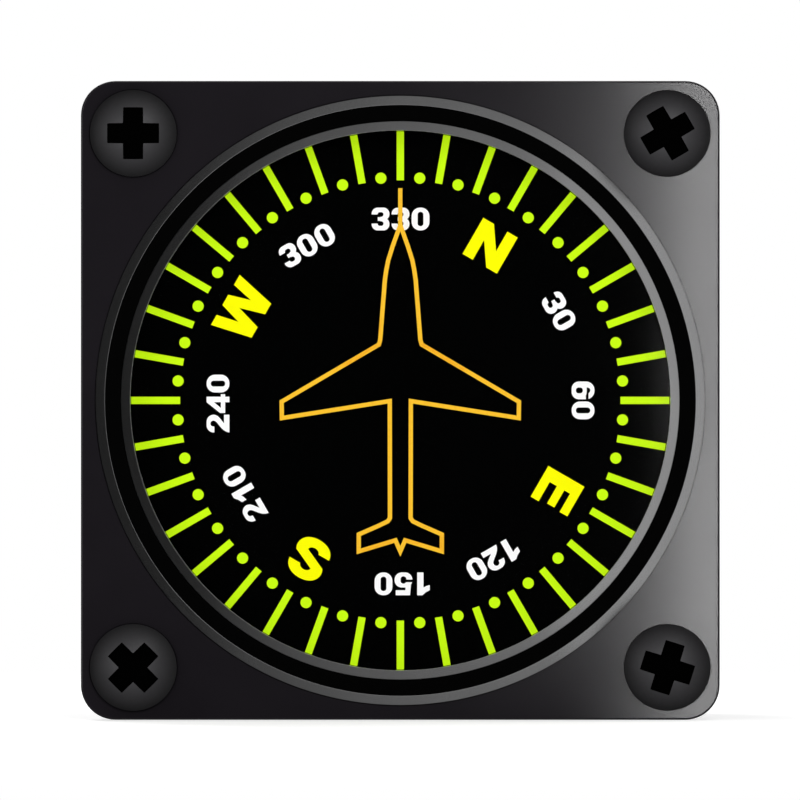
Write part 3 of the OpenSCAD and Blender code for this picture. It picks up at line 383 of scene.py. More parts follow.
class Recipe:
    """A material or world in the making: nodes are added and joined by add and mix."""

    def __init__(self, name, library="materials"):
        self.made = getattr(bpy.data, library).new(name)
        self.made.use_nodes = True
        self.tree = self.made.node_tree
        self.tree.nodes.clear()
        self.place = self.add("ShaderNodeTexCoord", {}, {}, "Object")

    def add(self, kind, settings, inputs, output=None):
        """Add a node: its settings first, then the values and links of its sockets."""
        node = self.tree.nodes.new(kind)
        for name, value in settings.items():
            setattr(node, name, value)
        sockets = {socket.identifier: socket for socket in node.inputs}
        for name, value in inputs.items():
            if isinstance(value, Value):
                self.tree.links.new(value.socket, sockets[name])
            else:
                sockets[name].default_value = value
        outputs = {socket.identifier: socket for socket in node.outputs}
        if outputs:
            return Value(self, outputs[output] if output else node.outputs[0])

    def mix(self, share, first, second):
        """A colour between two colours."""
        colours = [
            one if isinstance(one, Value) else (*one, 1.0) for one in (first, second)
        ]
        return self.add(
            "ShaderNodeMix", {"data_type": "RGBA"},
            {"Factor_Float": share, "A_Color": colours[0], "B_Color": colours[1]},
            "Result_Color",
        )

    def noise(self, size, detail, stretch=None, roughness=0.5):
        """Noise from 0 to 1 with patches of about this size, in metres."""
        place = self.place
        if stretch:
            place = self.add(
                "ShaderNodeMapping", {}, {"Vector": place, "Scale": stretch}
            )
        return self.add(
            "ShaderNodeTexNoise", {},
            {"Vector": place, "Scale": 1 / size, "Detail": detail, "Roughness": roughness},
            "Fac",
        )

    def rings(self, size):
        """Turning marks about the dial axis, this far apart in metres."""
        return self.add(
            "ShaderNodeTexWave", {"wave_type": "RINGS", "rings_direction": "Y"},
            {"Vector": self.place, "Scale": WAVE_GAP / size, "Distortion": 1.5, "Detail": 2.0},
            "Fac",
        )

    def relief(self, height, depth, strength):
        """A normal from a height from 0 to 1, this deep in metres."""
        return self.add(
            "ShaderNodeBump", {}, {"Height": height, "Distance": depth, "Strength": strength}
        )

    def seen(self):
        """1 for what the camera sees, also reflected or through glass, and 0 for light."""
        camera, glossy, through = (
            self.add("ShaderNodeLightPath", {}, {}, f"Is {kind} Ray")
            for kind in ("Camera", "Glossy", "Transmission")
        )
        return (camera + glossy + through).clamped()

    def surface(self, shader):
        """Join the shader to the output, and give the finished material."""
        self.add("ShaderNodeOutputMaterial", {}, {"Surface": shader})
        return self.made

    def thinned(self, shader, share):
        """The surface: this shader, see-through by a share."""
        clear = self.add("ShaderNodeBsdfTransparent", {}, {})
        return self.surface(self.add(
            "ShaderNodeMixShader", {}, {"Fac": share, "Shader": shader, "Shader_001": clear}
        ))

    def finish(self, **inputs):
        """The surface: a Principled shader with these inputs."""
        named = {name.replace("_", " ").title(): value for name, value in inputs.items()}
        if "Specular" in named:
            named["Specular IOR Level"] = named.pop("Specular")
        for name in ("Base Color", "Emission Color"):
            if name in named and not isinstance(named[name], Value):
                named[name] = (*named[name], 1.0)
        return self.surface(self.add("ShaderNodeBsdfPrincipled", {}, named))


def darker(shade, share):
    """The colour times a share, which is lighter where the share is over 1."""
    return tuple(one * share for one in shade)


def satin_paint(name, shade, roughness, specular, peel):
    """Sprayed satin paint: a fine orange peel, this deep in metres, and faint cloudiness."""
    recipe = Recipe(name)
    dimples = recipe.noise(0.25 * MM, 2.0)
    clouds = recipe.noise(14 * MM, 3.0)
    return recipe.finish(
        base_color=recipe.mix(clouds, darker(shade, 0.75), darker(shade, 1.25)),
        roughness=roughness + (clouds - 0.5) * 0.02 + (dimples - 0.5) * 0.02,
        normal=recipe.relief(dimples, peel, 0.5),
        specular=specular,
    )


def anodised(name, shade, roughness):
    """Dark anodising over turned aluminium, with the lathe's fine marks under it."""
    recipe = Recipe(name)
    marks = recipe.rings(0.12 * MM)
    clouds = recipe.noise(6 * MM, 3.0)
    return recipe.finish(
        base_color=recipe.mix(clouds, darker(shade, 0.9), darker(shade, 1.1)),
        roughness=roughness + (marks - 0.5) * 0.05,
        metallic=1.0,
        normal=recipe.relief(marks, 0.001 * MM, 0.4),
    )


def heads_with_painted_highlight(name, painted_highlight, shade):
    """Black oxide on the panel screws, with a painted highlight: lighter round the recess and
    fading to dark at the rim, as a domed head lit from the front looks.
    """
    recipe = Recipe(name)
    highlight_r, fade = 2.0 * MM, 3.4 * MM
    across, up = (
        abs(abs(recipe.add("ShaderNodeSeparateXYZ", {}, {"Vector": recipe.place}, axis)) - SCREW_AT)
        for axis in "XZ"
    )
    reach = (across * across + up * up) ** 0.5
    scuffs = recipe.noise(0.5 * MM, 4.0)
    # Painted highlight: 0 near each head's middle, where the lighter colour is painted, rising to
    # 1, dark, towards the rim
    dark = ((reach - highlight_r) / fade + (scuffs - 0.5) * 0.12).clamped()
    return recipe.finish(
        base_color=recipe.mix(dark, painted_highlight, shade),
        roughness=0.34 + scuffs * 0.08,
        normal=recipe.relief(scuffs, 0.004 * MM, 0.3),
        specular=0.12,
    )


def textured_paint(name, shade):
    """Fine wrinkled paint on the barrel and its cover."""
    recipe = Recipe(name)
    wrinkle = recipe.add(
        "ShaderNodeTexVoronoi", {"feature": "SMOOTH_F1"},
        {"Vector": recipe.place, "Scale": 1 / (0.45 * MM)}, "Distance",
    )
    clouds = recipe.noise(9 * MM, 3.0)
    return recipe.finish(
        base_color=recipe.mix(wrinkle, darker(shade, 0.7), darker(shade, 1.6)),
        roughness=0.55 + (clouds - 0.5) * 0.12,
        normal=recipe.relief(wrinkle, 0.05 * MM, 0.6),
        specular=0.3,
    )


def machined_metal(name, shade, roughness, tarnish=0.8, slot_top=None):
    """Machined metal: a fine grain and slight staining.

    A slotted piece has turning marks instead, and the floor of its slot, which lies deeper
    than its top, has a painted shade: it is darkened for the shade that falls in the slot.
    """
    recipe = Recipe(name)
    marks = recipe.rings(0.09 * MM) if slot_top else recipe.noise(
        0.12 * MM, 3.0, stretch=(1, 0.12, 1)
    )
    stains = recipe.noise(5 * MM, 4.0)
    metal = recipe.mix(stains, darker(shade, tarnish), shade)
    # Painted shade: deeper than the slot's top, the metal is darkened almost to black
    if slot_top:
        depth, fade = 0.3 * MM, 0.15 * MM
        along = recipe.add("ShaderNodeSeparateXYZ", {}, {"Vector": recipe.place}, "Y")
        top = ((along - (slot_top - depth)) / fade).clamped()
        metal = recipe.mix(top, darker(shade, 0.06), metal)
    return recipe.finish(
        base_color=metal,
        roughness=roughness + (marks - 0.5) * 0.12 + (stains - 0.5) * 0.1,
        metallic=1.0,
        normal=recipe.relief(marks, 0.006 * MM, 0.5),
    )


def rubber(name, shade):
    """Moulded rubber: a fine grain under a patchy bloom."""
    recipe = Recipe(name)
    grain = recipe.noise(0.18 * MM, 4.0)
    bloom = recipe.noise(6 * MM, 2.0)
    return recipe.finish(
        base_color=recipe.mix(bloom, shade, darker(shade, 2.2)),
        roughness=0.78 + (grain - 0.5) * 0.15,
        normal=recipe.relief(grain, 0.02 * MM, 0.5),
        specular=0.12,
    )


def printed(name, shade, glow):
    """Ink in a slightly uneven film; where glow is given it has a painted glow, light of its own
    though it is no lamp, which keeps the marks bright in the ring's shade.
    """
    recipe = Recipe(name)
    film = recipe.noise(0.35 * MM, 3.0)
    ink = recipe.mix(film, darker(shade, 0.94), shade)
    return recipe.finish(
        # Painted glow: the base colour is darkened by a share and the ink is given back as light
        base_color=recipe.mix(0.3, ink, (0, 0, 0)) if glow else ink,
        emission_color=ink,
        emission_strength=glow,
        roughness=0.7 + (film - 0.5) * 0.1,
        normal=recipe.relief(film, 0.01 * MM, 0.3),
        specular=0.05,
    )


def matt_card(name, shade):
    """Dead matt paint with a fine grain."""
    recipe = Recipe(name)
    grain = recipe.noise(0.2 * MM, 3.0)
    return recipe.finish(
        base_color=recipe.mix(grain, darker(shade, 0.7), darker(shade, 1.4)),
        roughness=0.85 + (grain - 0.5) * 0.1,
        normal=recipe.relief(grain, 0.008 * MM, 0.4),
        specular=0.0,
    )


def coated_glass(name):
    """Clear glass with a reflection-reducing coating and the faintest haze."""
    recipe = Recipe(name)
    haze = recipe.noise(11 * MM, 3.0)
    return recipe.finish(
        base_color=(0.004, 0.005, 0.005),
        roughness=0.02 + haze * 0.02,
        alpha=0.042 + haze * 0.016,
        specular=0.5,
    )


def jewel(name):
    """Polished red stone, a little cloudy inside."""
    recipe = Recipe(name)
    depth = recipe.noise(0.8 * MM, 2.0)
    return recipe.finish(
        base_color=recipe.mix(depth, (0.18, 0.004, 0.012), (0.42, 0.012, 0.04)),
        roughness=0.06 + depth * 0.04,
        coat_weight=0.6,
        specular=0.8,
    )


def magnet_alloy(name):
    """Cast magnet metal with its grain, ground on its faces."""
    recipe = Recipe(name)
    grain = recipe.noise(0.5 * MM, 5.0, roughness=0.65)
    ground = recipe.noise(0.15 * MM, 2.0, stretch=(0.08, 1, 1))
    return recipe.finish(
        base_color=recipe.mix(grain, (0.12, 0.12, 0.125), (0.3, 0.3, 0.31)),
        roughness=0.38 + (ground - 0.5) * 0.2,
        metallic=0.9,
        normal=recipe.relief(ground, 0.008 * MM, 0.5),
    )


MATERIALS = {}


def make_materials():
    """Fill MATERIALS: one for each of the record's slots, and some for new pieces."""
    shades = bpy.context.scene.compass_colours
    # the strength of the painted glow on the card's marks, numerals, letters and airplane symbol
    glow = 0.54
    MATERIALS.update({
        "bezel_satin": satin_paint("Satin black paint", shades.bezel, 0.092, 0.1, 0.0004 * MM),
        "ring_satin": anodised("Dark anodising", shades.ring, 0.26),
        "band": matt_card("Black band", shades.band),
        "black_rubber": rubber("Black rubber", (0.008, 0.008, 0.008)),
        "clear_glass": coated_glass("Coated glass"),
        "amber_ink": printed("Amber ink", shades.symbol, glow),
        # The panel screws' heads carry a painted highlight, lighter in the middle, in their colour
        "black_steel": heads_with_painted_highlight(
            "Black oxide", painted_highlight=(0.043, 0.042, 0.045), shade=(0.0045, 0.0042, 0.0048)
        ),
        # Painted shade: recesses are painted near black, darker than the metal round them, for the
        # shade that falls in them
        "recess": matt_card("Painted recess shade", (0.0005, 0.0005, 0.0005)),
        "case_black": textured_paint("Wrinkle paint", shades.barrel),
        "bright_steel": machined_metal("Turned steel", shades.steel, 0.26),
        "plate_aluminium": machined_metal("Machined aluminium", shades.aluminium, 0.34),
        "turned_brass": machined_metal("Turned brass", shades.brass, 0.24, tarnish=0.75),
        "cup_copper": machined_metal("Turned copper", shades.copper, 0.3, tarnish=0.7),
        "ruby": jewel("Ruby"),
        "magnet_alloy": magnet_alloy("Magnet alloy"),
        "card_black": matt_card("Matt black card", shades.card),
        "lume_lime": printed("Lime marks", shades.lime, glow),
        "numeral_white": printed("White numerals", shades.numeral, glow),
        "mark_white": printed("White marks", (0.75, 0.75, 0.73), 0.0),
        "letter_yellow": printed("Yellow letters", shades.letter, glow),
    })


# Operators, one for each piece or group of like pieces

class COMPASS_OT_finishes(bpy.types.Operator):
    """Give every CAD node the finish of its material slot"""
    bl_idname = "compass.finishes"
    bl_label = "Finishes"

    def execute(self, context):
        make_materials()
        for subpart in frame["record"]["subparts"]:
            paint(frame["nodes"][subpart["node"]], MATERIALS[subpart["material_slot"]])
        # The two slotted pieces get a painted shade in their slots
        for node in ("ns_spindle", "ew_adjuster"):
            paint(frame["nodes"][node], machined_metal(
                "Slotted brass", context.scene.compass_colours.brass, 0.24,
                slot_top=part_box(node)[1].y,
            ))
        return {"FINISHED"}


class COMPASS_OT_flange(bpy.types.Operator):
    """Square flange with its glass seat, screw holes and the spigot behind it"""
    bl_idname = "compass.flange"
    bl_label = "Flange"

    def execute(self, context):
        sizes = context.scene.compass_sizes
        flange = primitive(
            "cube", "Flange", (0, FACE / 2, 0), (FLANGE_HALF, -FACE / 2, FLANGE_HALF)
        )
        edit(
            flange, "EDGE",
            lambda edge: abs(edge.verts[0].co.y - edge.verts[1].co.y) > FLAT,
            lambda: bpy.ops.mesh.bevel(offset=sizes.corner, segments=12, affect="EDGES"),
        )
        for y in (FACE, 0):
            edit(
                flange, "EDGE", both_ends(lambda co: abs(co.y - y) < FLAT),
                lambda: bpy.ops.mesh.bevel(offset=sizes.flange_edge, segments=4, affect="EDGES"),
            )
        self.spigot(flange)
        self.gap(flange, RING_R, (0, 0, 0), 192)
        hole_r = 2.6 * MM
        for x in (-SCREW_AT, SCREW_AT):
            for z in (-SCREW_AT, SCREW_AT):
                self.gap(flange, sizes.head, (x, 0, z), 96)
                drilled(flange, hole_r, FACE - PAST, PAST, 48, (x, 0, z))
        for degrees in PLATE_SCREWS:
            drilled(
                flange, SMALL_SCREW_R, SPIGOT_END - 2.8 * MM, SPIGOT_END + PAST, 24,
                around(degrees, SPIGOT_R - 2.2 * MM),
            )
        ready(flange, "case", [MATERIALS["bezel_satin"]], ["bezel_plate"])
        return {"FINISHED"}

    def spigot(self, flange):
        """The barrel's seat in the flange's back, the grooved spigot in it, and its bore."""
        joined(flange, turned("seat", plain_ring(
            CASE_R - 3 * MM, CASE_R + 0.2 * MM, -0.1 * MM, PAST
        )))
        groove_r, groove_start, groove_end = SPIGOT_R - 1 * MM, 0.8 * MM, 2.2 * MM
        joined(flange, turned("spigot", [
            (0, -PAST), (SPIGOT_R, -PAST), (SPIGOT_R, groove_start),
            (groove_r, groove_start), (groove_r, groove_end),
            (SPIGOT_R, groove_end), (SPIGOT_R, SPIGOT_END), (0, SPIGOT_END),
        ]), "UNION")
        pocket_r = GLASS_HIGH.x + 0.2 * MM
        well_r = GLASS_HIGH.x - 2.4 * MM
        mouth_r = well_r - 2 * MM
        step_y = SPIGOT_END - 3.8 * MM
        joined(flange, turned("bore", [
            (0, FACE - PAST), (pocket_r, FACE - PAST), (pocket_r, GLASS_HIGH.y),
            (well_r, GLASS_HIGH.y), (well_r, step_y), (mouth_r, step_y),
            (mouth_r, SPIGOT_END + PAST), (0, SPIGOT_END + PAST),
        ]))

    def gap(self, flange, r, centre, steps):
        """A fine groove round what sits on the face, which reads as a shadow line."""
        under, beside, depth = 0.15 * MM, 0.11 * MM, 0.35 * MM
        joined(flange, turned("gap", plain_ring(
            r - under, r + beside, FACE - 0.5 * MM, FACE + depth
        ), steps, centre=centre))


class COMPASS_OT_dial_ring(bpy.types.Operator):
    """Clamp ring with two sloping lands, and the black band between them"""
    bl_idname = "compass.dial_ring"
    bl_label = "Clamp ring and band"

    def execute(self, context):
        sizes = context.scene.compass_sizes
        foot = GLASS_LOW.y - 0.4 * MM
        drop_r = GLASS_HIGH.x + 0.15 * MM
        band_front = (FACE + RING_FRONT) / 2
        band_back, lip = band_front + 0.5 * MM, band_front - 0.1 * MM
        ring = turned("Clamp_ring", soft_corners([
            (sizes.dial, foot), (drop_r, foot), (drop_r, FACE), (RING_R, FACE),
            (RING_R, FACE - 0.2 * MM), (sizes.groove_out, lip), (sizes.groove_out, band_back),
            (sizes.groove_in, band_back), (sizes.groove_in, lip), (sizes.dial, RING_FRONT),
        ], sizes.fine_edge * 0.8), 192)
        ready(ring, "case", [MATERIALS["ring_satin"]], ["clamp_ring"])
        play = 0.02 * MM
        band = turned("Black_band", soft_corners(plain_ring(
            sizes.groove_in + play, sizes.groove_out - play, band_back, band_front
        ), 0.1 * MM), 192)
        ready(band, "case", [MATERIALS["band"]], ["ring_inlay"])
        return {"FINISHED"}


class COMPASS_OT_glass(bpy.types.Operator):
    """Front glass with ground edges"""
    bl_idname = "compass.glass"
    bl_label = "Front glass"

    def execute(self, context):
        glass = turned("Front_glass", soft_corners(
            plain_ring(0, GLASS_HIGH.x, GLASS_LOW.y, GLASS_HIGH.y), 0.25 * MM
        ))
        ready(glass, "case", [MATERIALS["clear_glass"]], ["front_glass"])
        return {"FINISHED"}


class COMPASS_OT_panel_screws(bpy.types.Operator):
    """Four domed screws with cross recesses and rolled threads"""
    bl_idname = "compass.panel_screws"
    bl_label = "Panel screws"

    def execute(self, context):
        sizes = context.scene.compass_sizes
        finish = [MATERIALS["black_steel"], MATERIALS["recess"]]
        pieces = [self.thread(sizes), self.blank(sizes)]
        for one in pieces:
            paint(one, *finish)
        screw = joined_up("screw", *pieces)
        corners = [(-1, 1, 0), (1, 1, 30), (1, -1, -17.5), (-1, -1, 45)]
        for i, (x, z, degrees) in enumerate(corners):
            place = Matrix.Translation((x * SCREW_AT, 0, z * SCREW_AT))
            turn = Matrix.Rotation(math.radians(-degrees), 4, "Y")
            one = copy_of(screw, f"Panel_screw_{i + 1}", place @ turn)
            ready(one, "case", finish, ["panel_screws"])
        bpy.data.objects.remove(screw)
        return {"FINISHED"}

    def blank(self, sizes):
        """A screw at the origin, with its domed head and recess but no thread."""
        rise = FACE - HEAD_FRONT - sizes.head_rim
        dome_r = (sizes.head ** 2 + rise ** 2) / (2 * rise)
        widest, steps = math.asin(sizes.head / dome_r), 16
        dome = [
            (dome_r * math.sin(a), HEAD_FRONT + dome_r * (1 - math.cos(a)))
            for a in [widest * i / steps for i in range(1, steps)]
        ]
        edge, tip = 0.15 * MM, 0.6 * MM
        screw = turned("blank", [
            (0, HEAD_FRONT), *dome,
            (sizes.head, FACE - sizes.head_rim), (sizes.head, FACE - edge),
            (sizes.head - edge, FACE), (sizes.neck, FACE), (sizes.neck, SCREW_END - tip),
            (sizes.neck - tip, SCREW_END), (0, SCREW_END),
        ], 96)
        floor_y = HEAD_FRONT + sizes.recess_depth
        joined(screw, self.recess(sizes, floor_y))
        # Painted shade: the faces inside the cross recess take the near-black recess material
        for face in screw.data.polygons:
            x, y, z = face.center
            near = max(abs(x), abs(z)) < sizes.recess_span / 2 + 0.3 * MM
            off_dome = abs(math.hypot(x, z, y - HEAD_FRONT - dome_r) - dome_r)
            if near and off_dome >= 0.04 * MM and y < floor_y + 0.1 * MM:
                face.material_index = SHADED_RECESS
        return screw

    def recess(self, sizes, floor_y):
        """The cutter for the cross recess: four tapering arms on a square core."""
        half_arm, half_depth = sizes.recess_arm / 2, (sizes.recess_depth + 0.1 * MM) / 2
        cutter = primitive(
            "cube", "recess", (0, floor_y - half_depth, 0), (half_arm, half_depth, half_arm)
        )
        reach = (sizes.recess_span - sizes.recess_arm) / 2
        for x, z in ((1, 0), (-1, 0), (0, 1), (0, -1)):
            out = Vector((x, 0, z))
            edit(
                cutter, "FACE",
                lambda face: face.normal.dot(out) > 0.9
                and abs(face.calc_center_median().cross(out).y) < half_arm / 2,
                lambda: bpy.ops.mesh.extrude_region_move(
                    TRANSFORM_OT_translate={"value": out * reach}
                ),
            )
        for at_floor, taper in ((True, 0.94), (False, 1.042)):
            edit(
                cutter, "VERT", lambda v: (v.co.y > floor_y - FLAT) == at_floor,
                lambda: bpy.ops.transform.resize(value=(taper, 1, taper)),
            )
        modifier(
            cutter, "BEVEL", width=0.07 * MM, segments=2, limit_method="ANGLE",
            angle_limit=math.radians(40),
        )
        return cutter

    def thread(self, sizes):
        """The rolled thread: one ridge wound round the shank."""
        root, crest = sizes.neck - 0.05 * MM, sizes.thread
        ridge = wire("ridge", [
            (root, 0.05 * MM, 0), (crest, 0.32 * MM, 0), (crest, 0.42 * MM, 0), (root, 0.7 * MM, 0),
        ])
        turns = int((SCREW_END - 0.5 * MM) / sizes.pitch) - 1
        steps = 28 * turns
        modifier(
            ridge, "SCREW", axis="Y", angle=TURN * turns, screw_offset=sizes.pitch * turns,
            steps=steps, render_steps=steps, iterations=1, use_merge_vertices=True,
            merge_threshold=SAME,
        )
        closed(ridge)
        return ridge


class COMPASS_OT_barrel(bpy.types.Operator):
    """Drawn barrel with its screw bosses, countersinks and turned bands"""
    bl_idname = "compass.barrel"
    bl_label = "Barrel"

    def execute(self, context):
        sizes = context.scene.compass_sizes
        inner, cut = CASE_R - sizes.wall, 0.3 * MM
        outline = [(inner, CASE_START), (CASE_R, CASE_START)]
        for band in (11 * MM, CASE_END - 9 * MM):
            outline += [
                (CASE_R, band), (CASE_R - cut, band + cut),
                (CASE_R - cut, band + 5 * cut), (CASE_R, band + 6 * cut),
            ]
        outline += [(CASE_R, CASE_END), (inner, CASE_END)]
        barrel = turned("Barrel", soft_corners(outline, sizes.fine_edge), 144)
        boss_r, start, end = 3 * MM, CASE_END - 12 * MM, CASE_END - 0.1 * MM
        tap_r, tap_end = 1.27 * MM, CASE_END - 7.8 * MM
        for degrees in BOSSES:
            joined(barrel, turned("boss", [
                (0, start), (boss_r, start), (boss_r, end), (tap_r, end), (tap_r, tap_end),
                (0, tap_end),
            ], 36, centre=around(degrees, inner - BOSS_INSET)), "UNION")
        sink_r, sink_end, screw_y = 1.92 * MM, 0.9 * MM, 5.1 * MM
        for degrees in BARREL_SCREWS:
            out = around(degrees, 1)
            joined(barrel, turned("sink", [
                (0, -PAST), (sink_r, -PAST), (sink_r, 0), (SMALL_SCREW_R, sink_end),
                (SMALL_SCREW_R, 3 * MM), (0, 3 * MM),
            ], 36, -out, out * (CASE_R - 0.1 * MM) + Vector((0, screw_y, 0))))
        ready(barrel, "case", [MATERIALS["case_black"]], ["case_tube"])
        return {"FINISHED"}


class COMPASS_OT_rear_cover(bpy.types.Operator):
    """Rear cover with a turned groove, its four slotted screws and the adjuster marks"""
    bl_idname = "compass.rear_cover"
    bl_label = "Rear cover"

    def execute(self, context):
        sizes = context.scene.compass_sizes
        edge, groove_r, groove_depth = 0.6 * MM, 27.5 * MM, 0.3 * MM
        cover = turned("Rear_cover", soft_corners([
            (0, COVER_FRONT), (CASE_R, COVER_FRONT), (CASE_R, COVER_BACK - edge),
            (CASE_R - edge, COVER_BACK), (groove_r + 1 * MM, COVER_BACK),
            (groove_r + 0.7 * MM, COVER_BACK - groove_depth), (groove_r, COVER_BACK - groove_depth),
            (groove_r - groove_depth, COVER_BACK), (0, COVER_BACK),
        ], sizes.fine_edge), 144)
        screws_r = CASE_R - sizes.wall - BOSS_INSET
        holes = [(around(degrees, screws_r), 1.45 * MM) for degrees in BOSSES]
        holes += [(Vector((x, 0, ADJUSTER_Z)), 2.62 * MM) for x in (-ADJUSTER_X, ADJUSTER_X)]
        for centre, r in holes:
            drilled(cover, r, COVER_FRONT - PAST, COVER_BACK + PAST, 36, centre)
        ready(cover, "case", [MATERIALS["case_black"]], ["back_cover"])
        self.screws(screws_r)
        for words, x in (("N-S", -ADJUSTER_X), ("E-W", ADJUSTER_X)):
            self.mark(words, Vector((x, COVER_BACK, ADJUSTER_Z - 8.2 * MM)))
        return {"FINISHED"}

    def screws(self, screws_r):
        """Four slotted screws, each turned to an angle of its own."""
        top, head_r, shank_r = COVER_BACK + 1.5 * MM, 2.4 * MM, 1.25 * MM
        start = CASE_END - 7 * MM
        head = soft_corners([
            (head_r, COVER_BACK), (head_r, top - 0.1 * MM), (1.4 * MM, top), (0, top),
        ], 0.45 * MM, 5)
        screw = turned("screw", [
            (0, start), (0.9 * MM, start), (shank_r, CASE_END - 6.6 * MM),
            (shank_r, COVER_BACK), *head,
        ], 48)
        half_slot, slot_depth = 0.35 * MM, 0.8 * MM
        joined(screw, primitive("cube", "slot", (0, top, 0), (3 * MM, slot_depth, half_slot)))
        # Painted shade: the faces inside the slot take the near-black recess material
        for face in screw.data.polygons:
            _, y, z = face.center
            between = y > COVER_BACK and abs(z) < half_slot + 0.01 * MM
            if between and (y < top - 0.1 * MM or abs(face.normal.z) > 0.9):
                face.material_index = SHADED_RECESS
        for i, degrees in enumerate(BOSSES):
            place = Matrix.Translation(around(degrees, screws_r))
            turn = Matrix.Rotation(math.radians(37 * i + 12), 4, "Y")
            one = copy_of(screw, f"Rear_screw_{i + 1}", place @ turn)
            ready(one, "case", [MATERIALS["bright_steel"], MATERIALS["recess"]],
                  ["back_screws"])
        bpy.data.objects.remove(screw)

    def mark(self, words, place):
        """Paint-filled letters beside an adjuster, read from behind."""
        alone()
        bpy.ops.object.text_add(rotation=(math.radians(90), 0, math.radians(180)))
        text = bpy.context.object.data
        text.body = words
        text.size = 3.4 * MM
        text.extrude = 0.03 * MM
        text.align_x, text.align_y = "CENTER", "CENTER"
        bpy.ops.object.convert(target="MESH")
        mark = bpy.context.object
        mark.name = mark.data.name = "Mark_" + words.replace("-", "")
        mark.location = place
        bpy.ops.object.transform_apply(location=True, rotation=True, scale=True)
        ready(mark, "case", [MATERIALS["mark_white"]])


class COMPASS_OT_adjuster_bushes(bpy.types.Operator):
    """Two brass bushes with spanner notches, which carry the adjusters"""
    bl_idname = "compass.adjuster_bushes"
    bl_label = "Adjuster bushes"

    def execute(self, context):
        front, back = BUSH_LOW.y, BUSH_HIGH.y
        seal_r, shank_r, bore_r, seal_end = 2.13 * MM, 2.6 * MM, 1.54 * MM, front + 1.4 * MM
        bush = turned("bush", soft_corners([
            (seal_r, front), (shank_r, front), (shank_r, COVER_BACK), (BUSH_R, COVER_BACK),
            (BUSH_R, back), (bore_r, back), (bore_r, seal_end), (seal_r, seal_end),
        ], 0.18 * MM), 64)
        notch_r = 0.75 * MM
        notches = [around(60 * i, BUSH_R + 0.3 * MM) for i in range(6)]
        for centre in notches:
            drilled(bush, notch_r, COVER_BACK + 0.3 * MM, back + PAST, 20, centre)
        # Painted shade: the faces inside the spanner notches take the near-black recess material
        for face in bush.data.polygons:
            between = COVER_BACK + 0.2 * MM < face.center.y < back - 0.05 * MM
            nearest = min((face.center - centre).xz.length for centre in notches)
            if between and nearest < notch_r + 0.01 * MM:
                face.material_index = SHADED_RECESS
        for name, x in (("Bush_NS", -ADJUSTER_X), ("Bush_EW", ADJUSTER_X)):
            one = copy_of(bush, name, Matrix.Translation((x, 0, ADJUSTER_Z)))
            ready(one, "case", [MATERIALS["turned_brass"], MATERIALS["recess"]],
                  ["adjuster_bushes"])
        bpy.data.objects.remove(bush)
        return {"FINISHED"}


